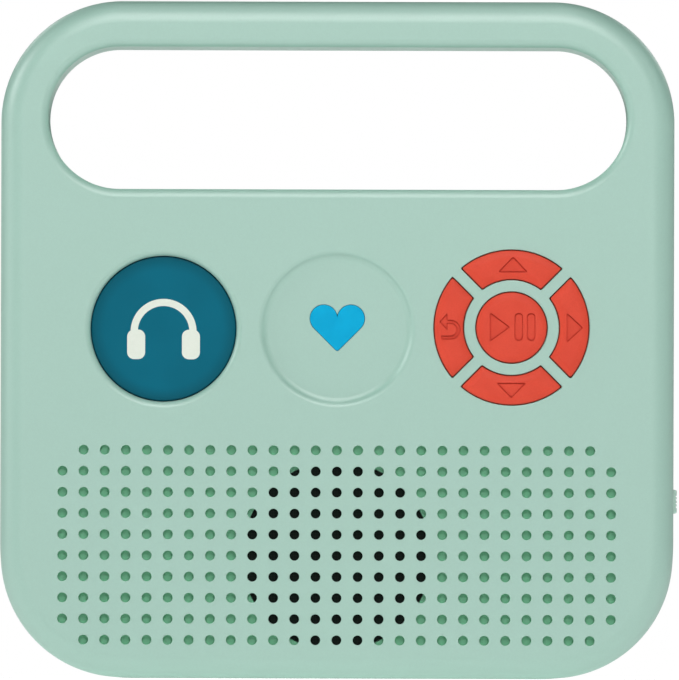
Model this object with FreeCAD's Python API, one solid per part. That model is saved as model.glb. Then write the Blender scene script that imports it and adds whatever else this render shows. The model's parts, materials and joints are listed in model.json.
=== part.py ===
import FreeCAD, Part
import math
import os

# Audio story player for small children: a rounded square housing whose top is a carrying
# handle, with a round display, a dished favourite button, a round control pad and a
# perforated loudspeaker front.
# Millimetres. +Z up, +X to the right seen from the front, front face looks to -Y.
# Origin: middle of the flat base, half-way between the front and the rear face.

V = FreeCAD.Vector
os.makedirs("parts", exist_ok=True)

# ---------------------------------------------------------------- driving dimensions
W = 150.0            # width of the housing
H = 150.85           # height of the housing
Y_F = -21.0          # front face
Y_R = 21.0           # rear face
Y_S = 3.0            # parting plane of the two shells
R_TOP = 27.1         # top corners
X_FLAT = 44.5        # half width of the flat base
R_LEAD = 60.0        # lead-in arc of a bottom corner
A_LEAD = 5.7         # its sweep, degrees
R_EDGE = 5.0         # fillet round the front and the rear face
WALL = 2.4           # side walls
WALL_F = 2.6         # front wall
WALL_R = 2.4         # rear wall
REVEAL = 0.25        # chamfer along the parting line

HAN_Z = 124.79       # handle opening: stadium
HAN_L = 64.5         # half length
HAN_R = 15.85        # end radius
HAN_EDGE = 1.95      # width of the soft roll round its edges,
HAN_ROLL = 70.0      # its steepest angle before the tight corner,
HAN_CORNER = 0.4     # and the radius of that corner

DISP_X, DISP_Z = -38.7, 77.82
WIN_R = 16.25        # hole of the window in the shell
RIM_WIN = 1.5        # rounded rim of the window
FAV_X, FAV_Z = 0.0, 77.93
FAV_R = 17.7         # favourite button: plate under the rim of its dish
FAV_R0 = 15.2        # wall of the dish: foot on the button,
FAV_R1 = 16.6        # steepest place, where the rim of the shell ends,
FAV_R2 = 17.65       # top, on the face of the shell
FAV_A = 46.0         # steepest angle
FAV_FLOOR = -19.74   # floor of the dish
FAV_GAP = 0.08       # between the lip of the button and the rim above it
PAD_X, PAD_Z = 38.8, 78.27
PAD_RO = 17.16        # ring-segment keys
PAD_RI = 10.8
PAD_GAP = 2.98       # between neighbouring keys
PAD_RC = 7.83        # play/pause key
KEY_CLEAR = 0.22     # gap round a key
KEY_PROUD = 0.6
KEY_CROWN = 0.4      # how far a key's edge lies behind its middle
KEY_EDGE = 0.3
KEY_TRAVEL = 0.6
FAV_TRAVEL = 0.8
HEART_Z = 80.19      # height of the centres of the heart's lobes

GR_PITCH = 4.70      # grille
GR_COLS, GR_ROWS = 27, 10
GR_Z = 29.66
GR_R = 1.08
GR_DEPTH = 2.0       # depth of the blind holes
SPK_X, SPK_Z = 0.0, 27.3
POCKET_R = 21.1      # round pocket behind the grille: holes over it are open
POCKET_D = 1.1

SLIDE_Z = 39.75      # power slider in its upper place
SLIDE_TRAVEL = 3.0
SLIDE_Y = 8.4
SLIDE_PROUD = 0.95

BB_Y = -12.0         # button board: front face
PCB_T = 1.6
MB_Y = 5.0           # main board: front face
MB_X0, MB_X1, MB_Z0, MB_Z1 = 36.0, 71.0, 22.0, 68.0

USB_Z = 52.5
JACK_Z = 26.2
JACK_R = 1.8         # bore of the headphone jack
JACK_L = 14.0

TUB = (-33.0, 33.0, 10.0, 52.0)    # battery tub, outside: x0, x1, z0, z1
COV = (-35.0, 35.0, 8.0, 60.0)     # battery cover

Y_IN = Y_F + WALL_F  # inner face of the front wall
FAV_LIP = FAV_FLOOR - (FAV_R1 - FAV_R0) / math.sin(math.radians(FAV_A)) * (1 - math.cos(math.radians(FAV_A)))
Y_BK = Y_R - WALL_R  # inner face of the rear wall


# ---------------------------------------------------------------- helpers
def pt(x, z, y=0.0):
    return V(x, y, z)


def seg(a, b):
    return Part.LineSegment(a, b).toShape()


def arc(cx, cz, r, a0, a1, y):
    """Arc in a plane of constant Y, angles in degrees from +X towards +Z."""
    am = 0.5 * (a0 + a1)
    p = [V(cx + r * math.cos(math.radians(a)), y, cz + r * math.sin(math.radians(a))) for a in (a0, am, a1)]
    return Part.Arc(p[0], p[1], p[2]).toShape()


def chain(items, y):
    """Closed wire through arcs (cx, cz, r, a0, a1) joined by straight runs."""
    edges, ends = [], []
    for (cx, cz, r, a0, a1) in items:
        edges.append(arc(cx, cz, r, a0, a1, y))
        ends.append((V(cx + r * math.cos(math.radians(a0)), y, cz + r * math.sin(math.radians(a0))),
                     V(cx + r * math.cos(math.radians(a1)), y, cz + r * math.sin(math.radians(a1)))))
    out = []
    n = len(items)
    for i in range(n):
        out.append(edges[i])
        a, b = ends[i][1], ends[(i + 1) % n][0]
        if (a - b).Length > 1e-6:
            out.append(seg(a, b))
    return Part.Wire(out)


def outline(d, y):
    """Outline of the housing, moved inwards by d."""
    f = math.radians(A_LEAD)
    half = W / 2.0
    ext = half - X_FLAT
    r2 = (ext - R_LEAD * math.sin(f) - R_LEAD * (1 - math.cos(f))) / (math.cos(f) - math.sin(f))
    cx = X_FLAT + (R_LEAD - r2) * math.sin(f)
    cz = R_LEAD - (R_LEAD - r2) * math.cos(f)
    a = A_LEAD
    items = [
        (X_FLAT, R_LEAD, R_LEAD - d, -90, -90 + a),
        (cx, cz, r2 - d, -90 + a, -a),
        (half - R_LEAD, ext, R_LEAD - d, -a, 0),
        (half - R_TOP, H - R_TOP, R_TOP - d, 0, 90),
        (-(half - R_TOP), H - R_TOP, R_TOP - d, 90, 180),
        (-(half - R_LEAD), ext, R_LEAD - d, 180, 180 + a),
        (-cx, cz, r2 - d, 180 + a, 270 - a),
        (-X_FLAT, R_LEAD, R_LEAD - d, 270 - a, 270),
    ]
    return chain(items, y)


def stadium(cx, cz, hl, r, y):
    """Stadium along X: half length hl, end radius r."""
    return chain([(cx + hl - r, cz, r, -90, 90), (cx - hl + r, cz, r, 90, 270)], y)


def stadium_z(cx, cz, hl, r, y):
    """Stadium along Z."""
    return chain([(cx, cz + hl - r, r, 0, 180), (cx, cz - hl + r, r, 180, 360)], y)


def slab(wire, depth):
    return Part.Face(wire).extrude(V(0, depth, 0))


def ring_slab(outer, inner, depth):
    return slab(outer, depth).cut(slab(inner, depth))


def box(x0, x1, y0, y1, z0, z1):
    return Part.makeBox(x1 - x0, y1 - y0, z1 - z0, V(x0, y0, z0))


def rbox(x0, x1, y0, y1, z0, z1, r, axis="y"):
    """Box with its edges along one axis rounded."""
    b = box(x0, x1, y0, y1, z0, z1)
    k = {"x": 0, "y": 1, "z": 2}[axis]
    es = []
    for e in b.Edges:
        d = e.Vertexes[1].Point - e.Vertexes[0].Point
        c = [abs(d.x), abs(d.y), abs(d.z)]
        if c[k] > 1e-6 and sum(c) - c[k] < 1e-6:
            es.append(e)
    return b.makeFillet(r, es)


def cyl(x, z, r, y0, y1):
    return Part.makeCylinder(r, y1 - y0, V(x, y0, z), V(0, 1, 0))


def cyl_x(y, z, r, x0, x1):
    return Part.makeCylinder(r, x1 - x0, V(x0, y, z), V(1, 0, 0))


def rev(edges, cx, cz):
    """Solid of revolution about the Y axis through (cx, cz), from edges drawn in (r, y)."""
    f = Part.Face(Part.Wire(edges))
    s = f.revolve(V(0, 0, 0), V(0, 1, 0), 360)
    if s.Volume < 0:
        s.reverse()
    s.translate(V(cx, 0, cz))
    return s


def poly(points):
    p = [V(a, b, 0) for a, b in points]
    return [seg(p[i], p[(i + 1) % len(p)]) for i in range(len(p))]


def rarc(c, r, a0, a1):
    """Arc in (r, y) space for rev()."""
    am = 0.5 * (a0 + a1)
    q = [V(c[0] + r * math.cos(math.radians(a)), c[1] + r * math.sin(math.radians(a)), 0) for a in (a0, am, a1)]
    return Part.Arc(q[0], q[1], q[2]).toShape(), q[0], q[2]


def rim_cutter(cx, cz, r, f, y_back):
    """Hole of radius r whose front edge is rounded by f."""
    a, p0, p1 = rarc((r + f, Y_F + f), f, 270, 180)
    e = [seg(V(0, Y_F - 2, 0), V(r + f, Y_F - 2, 0)), seg(V(r + f, Y_F - 2, 0), p0), a,
         seg(p1, V(r, y_back, 0)), seg(V(r, y_back, 0), V(0, y_back, 0)), seg(V(0, y_back, 0), V(0, Y_F - 2, 0))]
    return rev(e, cx, cz)


def fuse(shapes):
    s = shapes[0].multiFuse(shapes[1:]) if len(shapes) > 1 else shapes[0]
    return s.removeSplitter()


def near_y(e, y, tol=1e-4):
    return all(abs(v.Point.y - y) < tol for v in e.Vertexes) and abs(e.BoundBox.YMin - y) < tol and abs(e.BoundBox.YMax - y) < tol


def on_handle(e):
    b = e.BoundBox
    return b.XMin > -HAN_L - 0.1 and b.XMax < HAN_L + 0.1 and b.ZMin > HAN_Z - HAN_R - 0.1 and b.ZMax < HAN_Z + HAN_R + 0.1


def fillet_path(points, radii):
    """Wire of straight runs joined by tangent arcs."""
    p = [V(*q) for q in points]
    edges, last = [], p[0]
    for i in range(1, len(p) - 1):
        a, b = (p[i - 1] - p[i]), (p[i + 1] - p[i])
        a.normalize()
        b.normalize()
        ang = math.acos(max(-1, min(1, a.dot(b))))
        r = radii[i - 1]
        t = r / math.tan(ang / 2)
        s, e = p[i] + a * t, p[i] + b * t
        bis = a + b
        bis.normalize()
        m = p[i] + bis * (r / math.sin(ang / 2) - r)
        edges += [seg(last, s), Part.Arc(s, m, e).toShape()]
        last = e
    edges.append(seg(last, p[-1]))
    return Part.Wire(edges)


def tube(points, radii, r):
    w = fillet_path(points, radii)
    t = (V(*points[1]) - V(*points[0]))
    t.normalize()
    c = Part.Wire([Part.makeCircle(r, V(*points[0]), t)])
    s = w.makePipeShell([c], True, False)
    want = math.pi * r * r * w.Length
    print("lead length %.1f, volume %.2f of %.2f" % (w.Length, s.Volume, want))
    return s


def strap(points, radii, across, half_w, half_t):
    """Flat lead: rectangle swept along a path that lies in the plane square to `across`."""
    w = fillet_path(points, radii)
    t = V(*points[1]) - V(*points[0])
    t.normalize()
    a = V(*across)
    n = t.cross(a)
    c = V(*points[0])
    q = [c + a * half_w + n * half_t, c - a * half_w + n * half_t, c - a * half_w - n * half_t, c + a * half_w - n * half_t]
    prof = Part.Wire([seg(q[i], q[(i + 1) % 4]) for i in range(4)])
    return w.makePipeShell([prof], True, False)


parts = {}


def put(name, shape):
    parts[name] = shape


# ---------------------------------------------------------------- layout of fasteners
CASE_SCREWS = [(-60.0, 15.0), (60.0, 15.0), (-66.2, 99.0), (66.2, 99.0), (-38.0, 144.1), (38.0, 144.1)]
BAR = 140.0          # screws higher than this sit in the handle bar and are smaller
BOARD_POSTS = [(-15.5, 62.5), (-15.5, 93.5), (54.5, 62.3), (54.5, 93.7)]
HOLDER_POSTS = [(DISP_X + 23.6 * math.cos(math.radians(a)), DISP_Z + 23.6 * math.sin(math.radians(a))) for a in (60, 180, 300)]
SPK_POSTS = [(SPK_X + 26.6 * math.cos(math.radians(a)), SPK_Z + 26.6 * math.sin(math.radians(a))) for a in (45, 135, 225, 315)]
MB_POSTS = [(39.8, 25.8), (52.0, 25.8), (39.8, 64.2), (67.0, 64.2)]


# ---------------------------------------------------------------- key outlines
def segment_wire(off, y, turn):
    """Ring segment pointing up, turned by `turn` degrees, moved outwards by off."""
    d = PAD_GAP / 2 - off
    c = d * math.sqrt(2)
    ro, ri = PAD_RO + off, PAD_RI - off
    uo = (-c + math.sqrt(2 * ro * ro - c * c)) / 2
    ui = (-c + math.sqrt(2 * ri * ri - c * c)) / 2
    a, b = V(uo, y, uo + c), V(-uo, y, uo + c)
    e, f = V(-ui, y, ui + c), V(ui, y, ui + c)
    w = Part.Wire([Part.Arc(a, V(0, y, ro), b).toShape(), seg(b, e), Part.Arc(e, V(0, y, ri), f).toShape(), seg(f, a)])
    w.rotate(V(0, 0, 0), V(0, -1, 0), turn)
    w.translate(V(PAD_X, 0, PAD_Z))
    return w


TURNS = {"up_key": 0.0, "back_key": 90.0, "down_key": 180.0, "next_key": 270.0}


def key_solid(wire_fn, y0, y1, corner, r_mid, half):
    """Key cap: prism with its upright edges rounded by corner, a crowned front whose highest line runs
    at radius r_mid round the pad's axis and drops by KEY_CROWN over half, and a rounded front edge."""
    s = slab(wire_fn(y0 - 0.5), y1 - y0 + 0.5)
    if corner:
        es = [e for e in s.Edges if e.BoundBox.YLength > 0.5 * (y1 - y0) and e.BoundBox.XLength < 1e-6 and e.BoundBox.ZLength < 1e-6]
        if es:
            s = s.makeFillet(corner, es)
    rc = (half * half + KEY_CROWN * KEY_CROWN) / (2 * KEY_CROWN)
    reach = half + 1.0
    a = math.degrees(math.asin(reach / rc))
    if r_mid:
        top, q0, q1 = rarc((r_mid, y0 + rc), rc, 270 - a, 270 + a)
        crown = rev([top, seg(q1, V(q1.x, y1 + 1, 0)), seg(V(q1.x, y1 + 1, 0), V(q0.x, y1 + 1, 0)), seg(V(q0.x, y1 + 1, 0), q0)], PAD_X, PAD_Z)
    else:
        top, q0, q1 = rarc((0.0, y0 + rc), rc, 270, 270 + a)
        crown = rev([top, seg(q1, V(q1.x, y1 + 1, 0)), seg(V(q1.x, y1 + 1, 0), V(0, y1 + 1, 0)), seg(V(0, y1 + 1, 0), q0)], PAD_X, PAD_Z)
    s = s.common(crown)
    return s.makeFillet(KEY_EDGE, [e for e in s.Edges if e.BoundBox.YMax < y0 + KEY_CROWN + 0.2])


def tri(cx, cz, pts, y):
    q = [V(cx + a, y, cz + b) for a, b in pts]
    return Part.Wire([seg(q[i], q[(i + 1) % len(q)]) for i in range(len(q))])


def heart_wire(off, y):
    """Heart with 45 degree sides: two lobes and a small tip radius, moved outwards by off."""
    r, xc, zc = 3.05 + off, 3.03, HEART_Z
    s = math.sqrt(0.5)
    notch = math.sqrt(r * r - xc * xc)
    pr = V(xc + r * s, y, zc - r * s)
    pl = V(-pr.x, y, pr.z)
    top = V(0, y, zc + notch)
    rt = 0.5 + off
    tipz = pr.z - pr.x
    # tip arc: centre on the axis, tangent to both sides
    cz = tipz + rt * math.sqrt(2)
    ta, tb, tm = V(rt * s, y, cz - rt * s), V(-rt * s, y, cz - rt * s), V(0, y, cz - rt)
    edges = [Part.Arc(pr, V(xc + r * math.cos(math.radians(40)), y, zc + r * math.sin(math.radians(40))), top).toShape(),
             Part.Arc(top, V(-xc - r * math.cos(math.radians(40)), y, zc + r * math.sin(math.radians(40))), pl).toShape(),
             seg(pl, tb), Part.Arc(tb, tm, ta).toShape(), seg(ta, pr)]
    return Part.Wire(edges)


# ---------------------------------------------------------------- shell blanks
def handle_rim():
    """Cutter that rounds the front edge of the handle opening: an arc off the face, then a tight corner into the wall."""
    t = math.radians(HAN_ROLL)
    big = (HAN_EDGE - HAN_CORNER * (1 - math.sin(t))) / math.sin(t)
    deep = big * (1 - math.cos(t)) + HAN_CORNER * math.cos(t)
    a1, p0, p1 = rarc((HAN_R + HAN_EDGE, Y_F + big), big, 270, 270 - HAN_ROLL)
    a2, p2, p3 = rarc((HAN_R + HAN_CORNER, Y_F + deep), HAN_CORNER, 270 - HAN_ROLL, 180)
    a2 = Part.Arc(p1, V(HAN_R + HAN_CORNER - HAN_CORNER * math.cos(0.5 * (math.pi / 2 - t)), Y_F + deep - HAN_CORNER * math.sin(0.5 * (math.pi / 2 - t)), 0), p3).toShape()
    r0, r1 = HAN_R - 1.0, HAN_R + HAN_EDGE
    f = Part.Face(Part.Wire([a1, a2, seg(p3, V(r0, p3.y, 0)), seg(V(r0, p3.y, 0), V(r0, Y_F - 1, 0)),
                             seg(V(r0, Y_F - 1, 0), V(r1, Y_F - 1, 0)), seg(V(r1, Y_F - 1, 0), p0)]))
    run = 2 * (HAN_L - HAN_R)
    parts = []
    for sign in (1, -1):
        g = f.copy()
        g.rotate(V(0, 0, 0), V(0, 1, 0), -90 * sign)
        end = g.revolve(V(0, 0, 0), V(0, 1, 0), 180)
        end.translate(V(sign * (HAN_L - HAN_R), 0, HAN_Z))
        bar = g.extrude(V(-sign * run, 0, 0))
        bar.translate(V(sign * 0.5 * run, 0, HAN_Z))
        parts += [end, bar]
    for q in parts:
        if q.Volume < 0:
            q.reverse()
    return fuse(parts)


def shell_blank(y_face, y_part):
    """Filleted block between the parting plane and one face, with the handle opening."""
    y0, y1 = min(y_face, y_part), max(y_face, y_part)
    b = slab(outline(0, y0), y1 - y0)
    b = b.makeFillet(R_EDGE, [e for e in b.Edges if near_y(e, y_face)])
    b = b.makeChamfer(REVEAL, [e for e in b.Edges if near_y(e, y_part)])
    b = b.cut(slab(stadium(0, HAN_Z, HAN_L, HAN_R, y0 - 1), y1 - y0 + 2))
    rim = handle_rim() if y_face < 0 else handle_rim().mirror(V(0, 0, 0), V(0, 1, 0))
    b = b.cut(rim).removeSplitter()
    b = b.makeChamfer(REVEAL, [e for e in b.Edges if near_y(e, y_part) and on_handle(e)])
    return b


def cavity(y0, y1, d=WALL):
    return ring_slab(outline(d, y0), stadium(0, HAN_Z, HAN_L + d, HAN_R + d, y0), y1 - y0)


# ---------------------------------------------------------------- front shell
front = shell_blank(Y_F, Y_S)
front = front.cut(cavity(Y_IN, Y_S + 1))
LIP_T, LIP_H = 1.1, 1.8
adds = [front]
adds.append(ring_slab(outline(WALL - LIP_T, Y_S - 2), outline(WALL, Y_S - 2), 2 + LIP_H))
adds.append(ring_slab(stadium(0, HAN_Z, HAN_L + WALL, HAN_R + WALL, Y_S - 2),
                      stadium(0, HAN_Z, HAN_L + WALL - LIP_T, HAN_R + WALL - LIP_T, Y_S - 2), 2 + LIP_H))
for x, z in CASE_SCREWS:
    adds.append(cyl(x, z, 3.2 if z < BAR else 2.6, Y_IN - 0.5, Y_S))
for x, z in BOARD_POSTS:
    adds.append(cyl(x, z, 2.3, Y_IN - 0.5, BB_Y))
for x, z in HOLDER_POSTS:
    adds.append(cyl(x, z, 2.3, Y_IN - 0.5, -15.8))
for x, z in SPK_POSTS:
    adds.append(cyl(x, z, 2.1, Y_IN - 0.5, -16.8))
# handle ribs across the channel
for x in (-57.0, -19.0, 0.0, 19.0, 57.0):
    adds.append(box(x - 0.6, x + 0.6, Y_IN - 0.5, 0.5, 141.0, 149.8) if abs(x) < 45 else box(x - 0.6, x + 0.6, Y_IN - 0.5, 0.5, 139.0, 144.5))
# ribs under the handle opening
for x in (-45.0, -15.0, 15.0, 45.0):
    adds.append(box(x - 0.6, x + 0.6, Y_IN - 0.5, -4.0, 101.5, 108.0))
front = fuse(adds)
# trim whatever the ribs left outside the housing or in the handle opening
front = front.common(fuse([slab(outline(0, Y_F), Y_S - Y_F), slab(outline(WALL - LIP_T, Y_S - 0.2), LIP_H + 0.2)]))
front = front.cut(slab(stadium(0, HAN_Z, HAN_L, HAN_R, Y_S - 12), 14))

cuts = []
for x, z in CASE_SCREWS:
    cuts.append(cyl(x, z, 1.3 if z < BAR else 1.05, Y_S - 11, Y_S + 1))
for x, z in BOARD_POSTS:
    cuts.append(cyl(x, z, 0.85, BB_Y - 5.0, BB_Y + 1))
for x, z in HOLDER_POSTS:
    cuts.append(cyl(x, z, 0.85, -18.6, -15.0))
for x, z in SPK_POSTS:
    cuts.append(cyl(x, z, 0.85, -18.6, -16.0))
cuts.append(rim_cutter(DISP_X, DISP_Z, WIN_R, RIM_WIN, Y_IN + 0.5))
fr = (FAV_R2 - FAV_R1) / math.sin(math.radians(FAV_A))
ca, p0, p1 = rarc((FAV_R2, Y_F + fr), fr, 270, 270 - FAV_A)
cuts.append(rev([seg(V(0, Y_F - 2, 0), V(FAV_R2, Y_F - 2, 0)), seg(V(FAV_R2, Y_F - 2, 0), p0), ca, seg(p1, V(FAV_R1, Y_IN + 0.5, 0)),
                 seg(V(FAV_R1, Y_IN + 0.5, 0), V(0, Y_IN + 0.5, 0)), seg(V(0, Y_IN + 0.5, 0), V(0, Y_F - 2, 0))], FAV_X, FAV_Z))
cuts.append(cyl(FAV_X, FAV_Z, FAV_R + 0.25, FAV_LIP - FAV_GAP, Y_IN + 0.5))
for name, turn in TURNS.items():
    cuts.append(slab(segment_wire(KEY_CLEAR, Y_F - 1, turn), WALL_F + 1.5))
cuts.append(cyl(PAD_X, PAD_Z, PAD_RC + KEY_CLEAR, Y_F - 1, Y_IN + 0.5))
cuts.append(cyl(SPK_X, SPK_Z, POCKET_R, Y_IN - POCKET_D, Y_IN + 0.5))
front = front.cut(Part.makeCompound(cuts))
holes = []
for j in range(GR_ROWS):
    for i in range(GR_COLS):
        if j in (0, GR_ROWS - 1) and i in (0, GR_COLS - 1):
            continue
        x = (i - (GR_COLS - 1) / 2.0) * GR_PITCH
        z = GR_Z + (j - (GR_ROWS - 1) / 2.0) * GR_PITCH
        holes.append(cyl(x, z, GR_R, Y_F - 1, Y_F + GR_DEPTH))
print("grille holes", len(holes))
front = front.cut(Part.makeCompound(holes))
put("front_shell", front)

# ---------------------------------------------------------------- rear shell
rear = shell_blank(Y_R, Y_S)
rear = rear.cut(cavity(Y_S - 1, Y_BK))
adds = [rear]
for x, z in CASE_SCREWS:
    adds.append(cyl(x, z, 4.3 if z < BAR else 3.2, Y_S, Y_BK + 0.5))
for x, z in MB_POSTS:
    adds.append(cyl(x, z, 2.3, MB_Y + PCB_T, Y_BK + 0.5))
x0, x1, z0, z1 = TUB
adds.append(rbox(x0, x1, 7.0, Y_BK + 0.5, z0, z1, 2.0))
adds.append(rbox(COV[0] - 2.0, COV[1] + 2.0, 17.0, Y_BK + 0.5, COV[2] - 2.0, COV[3] + 2.0, 3.0))
adds.append(cyl(0, 56.0, 3.4, 9.0, Y_BK + 0.5))
rear = fuse(adds)
rear = rear.common(slab(outline(0, Y_S), Y_R - Y_S))
cuts = [ring_slab(outline(WALL - LIP_T - 0.1, Y_S - 1), outline(WALL + 0.1, Y_S - 1), 1 + LIP_H + 0.2),
        ring_slab(stadium(0, HAN_Z, HAN_L + WALL + 0.1, HAN_R + WALL + 0.1, Y_S - 1),
                  stadium(0, HAN_Z, HAN_L + WALL - LIP_T - 0.1, HAN_R + WALL - LIP_T - 0.1, Y_S - 1), 1 + LIP_H + 0.2)]
for x, z in CASE_SCREWS:
    cuts.append(cyl(x, z, 2.9 if z < BAR else 2.1, 8.0, Y_R + 1))
    cuts.append(cyl(x, z, 1.45 if z < BAR else 1.15, Y_S - 1, 8.5))
for x, z in MB_POSTS:
    cuts.append(cyl(x, z, 0.85, MB_Y + PCB_T - 1, 12.5))
# battery tub and the recess of its cover
cuts.append(rbox(x0 + 1.6, x1 - 1.6, 8.6, Y_R + 1, z0 + 1.6, z1 - 1.6, 1.2))
cuts.append(rbox(COV[0] - 0.2, COV[1] + 0.2, 19.1, Y_R + 1, COV[2] - 0.2, COV[3] + 0.2, 3.2))
for x in (-20.0, 20.0):
    cuts.append(box(x - 4.2, x + 4.2, 18.9, 20.2, COV[2] - 2.0, COV[2] + 0.5))
cuts.append(cyl(0, 56.0, 0.95, 10.0, 19.5))
cuts.append(box(32.0 - 1.0, 34.0, 12.0, 16.0, 30.0, 34.5))     # way out of the battery lead
# openings in the right-hand wall
# the plug's hole flares outwards
cuts.append(Part.makeCone(2.86, 3.62, 6.0, V(70.0, MB_Y + PCB_T + 2.6, JACK_Z), V(1, 0, 0)))
usb_y = MB_Y + PCB_T + 1.63


def plug_slot(x_from, x_to, hz, hy):
    """Rounded slot through the side wall for the charging plug: half sizes along Z and Y."""
    b = box(x_from, x_to, usb_y - hy, usb_y + hy, USB_Z - hz, USB_Z + hz)
    es = [e for e in b.Edges if e.BoundBox.XLength > 1 and e.BoundBox.YLength < 1e-6 and e.BoundBox.ZLength < 1e-6]
    return b.makeFillet(hy * 0.98, es)


cuts.append(plug_slot(68.0, 80.0, 4.75, 1.9))
cuts.append(plug_slot(73.8, 80.0, 6.2, 3.3))
cuts.append(box(70.0, 80.0, SLIDE_Y - 1.5, SLIDE_Y + 1.5, SLIDE_Z - SLIDE_TRAVEL - 2.7, SLIDE_Z + 2.7))
rear = rear.cut(Part.makeCompound(cuts))
put("rear_shell", rear)

# battery cover with two tabs and a countersunk hole
cover = rbox(COV[0], COV[1], 19.2, Y_R, COV[2], COV[3], 3.0)
cover = cover.makeFillet(0.4, [e for e in cover.Edges if near_y(e, Y_R)])
cover = fuse([cover] + [box(x - 3.9, x + 3.9, 19.2, 20.0, COV[2] - 1.7, COV[2] + 1.0) for x in (-20.0, 20.0)])
cover = cover.cut(Part.makeCompound([cyl(0, 56.0, 2.6, 19.8, 22.0), cyl(0, 56.0, 1.4, 18.0, 20.5)]
                                    + [rbox(-9.0, 9.0, 20.4, 22.0, 12.0 + 2.6 * k, 13.0 + 2.6 * k, 0.45) for k in range(4)]))
put("battery_cover", cover)


def screw(x, z, y_seat, head_r, head_h, shank_r, length, towards=-1, drive=True):
    """Pan-head screw along Y; the shank runs towards -Y from the seat."""
    if towards < 0:
        a = cyl(x, z, head_r, y_seat, y_seat + head_h)
        a = a.makeFillet(head_h * 0.45, [e for e in a.Edges if near_y(e, y_seat + head_h)])
        b = cyl(x, z, shank_r, y_seat - length, y_seat + 0.2)
        s = a.fuse(b)
        if drive:
            w, l, d = head_r * 0.22, head_r * 0.62, head_h * 0.55
            s = s.cut(box(x - l, x + l, y_seat + head_h - d, y_seat + head_h + 1, z - w / 2, z + w / 2))
            s = s.cut(box(x - w / 2, x + w / 2, y_seat + head_h - d, y_seat + head_h + 1, z - l, z + l))
    return s.removeSplitter()


put("case_screws", Part.makeCompound([screw(x, z, 8.0, 2.5, 2.0, 1.25, 15.0) for x, z in CASE_SCREWS if z < BAR]))
put("handle_screws", Part.makeCompound([screw(x, z, 8.0, 1.9, 1.5, 1.0, 14.0) for x, z in CASE_SCREWS if z > BAR]))
put("battery_cover_screw", screw(0, 56.0, 19.8, 2.4, 1.1, 0.9, 8.5))

# ---------------------------------------------------------------- round display
lens = rev(poly([(0, -19.55), (16.05, -19.55), (16.05, Y_IN + 0.02), (19.0, Y_IN + 0.02), (19.0, -17.6), (0, -17.6)]), DISP_X, DISP_Z)
lens = lens.makeFillet(0.3, [e for e in lens.Edges if near_y(e, -19.55)])
put("display_window", lens)
module = fuse([cyl(DISP_X, DISP_Z, 17.8, -17.55, -15.9), box(DISP_X - 7, DISP_X + 7, -17.3, -16.3, 57.6, 64.0)])
put("display_module", module)
holder = rev(poly([(18.1, -15.8), (18.1, Y_IN + 0.9), (20.3, Y_IN + 0.9), (20.3, -14.3), (0, -14.3), (0, -15.8)]), DISP_X, DISP_Z)
ears = []
for (x, z), a in zip(HOLDER_POSTS, (60, 180, 300)):
    ears.append(cyl(x, z, 3.2, -15.8, -14.3))
    arm = box(19.0, 23.6, -15.8, -14.3, -3.2, 3.2)
    arm.rotate(V(0, 0, 0), V(0, -1, 0), a)
    arm.translate(V(DISP_X, 0, DISP_Z))
    ears.append(arm)
holder = fuse([holder] + ears)
holder = holder.cut(Part.makeCompound([cyl(x, z, 1.1, -17, -14) for x, z in HOLDER_POSTS]
                                      + [cyl(x, z, 2.6, -19, -15.8) for x, z in HOLDER_POSTS]
                                      + [box(DISP_X - 7.4, DISP_X + 7.4, -17.6, -15.7, 56.0, 61.5),
                                         box(DISP_X + 0.2, DISP_X + 2.4, -16.5, -14.0, DISP_Z - 5.6, DISP_Z + 5.6)]))
put("display_holder", holder)
put("display_holder_screws", Part.makeCompound([screw(x, z, -14.3, 1.7, 1.1, 0.8, 3.6) for x, z in HOLDER_POSTS]))
flex = strap([(DISP_X + 1.3, -15.9, DISP_Z), (DISP_X + 1.3, -12.6, DISP_Z), (-17.2, -12.6, DISP_Z)], [1.4], (0, 0, 1), 5.0, 0.1)
put("display_flex", flex)

# ---------------------------------------------------------------- favourite button
br = (FAV_R1 - FAV_R0) / math.sin(math.radians(FAV_A))
ca, p0, p1 = rarc((FAV_R0, FAV_FLOOR - br), br, 90, 90 - FAV_A)
body = rev([seg(V(0, FAV_FLOOR, 0), p0), ca, seg(p1, V(FAV_R, FAV_LIP, 0)), seg(V(FAV_R, FAV_LIP, 0), V(FAV_R, -17.4, 0)),
            seg(V(FAV_R, -17.4, 0), V(0, -17.4, 0)), seg(V(0, -17.4, 0), V(0, FAV_FLOOR, 0))], FAV_X, FAV_Z)
stems = [cyl(s * 9.5, FAV_Z, 2.0, -17.6, -16.6) for s in (-1, 1)]
body = fuse([body] + stems)
body = body.cut(slab(heart_wire(0.08, Y_F - 1), 6.0))
put("favourite_button", body)
hl = slab(heart_wire(0.0, FAV_FLOOR - 0.12), -17.55 - FAV_FLOOR + 0.12)
hl = hl.makeFillet(0.1, [e for e in hl.Edges if near_y(e, FAV_FLOOR - 0.12)])
hl = fuse([hl, cyl(0, HEART_Z - 1.75, 2.2, -17.8, -15.2)])
put("heart_lens", hl)

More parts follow.
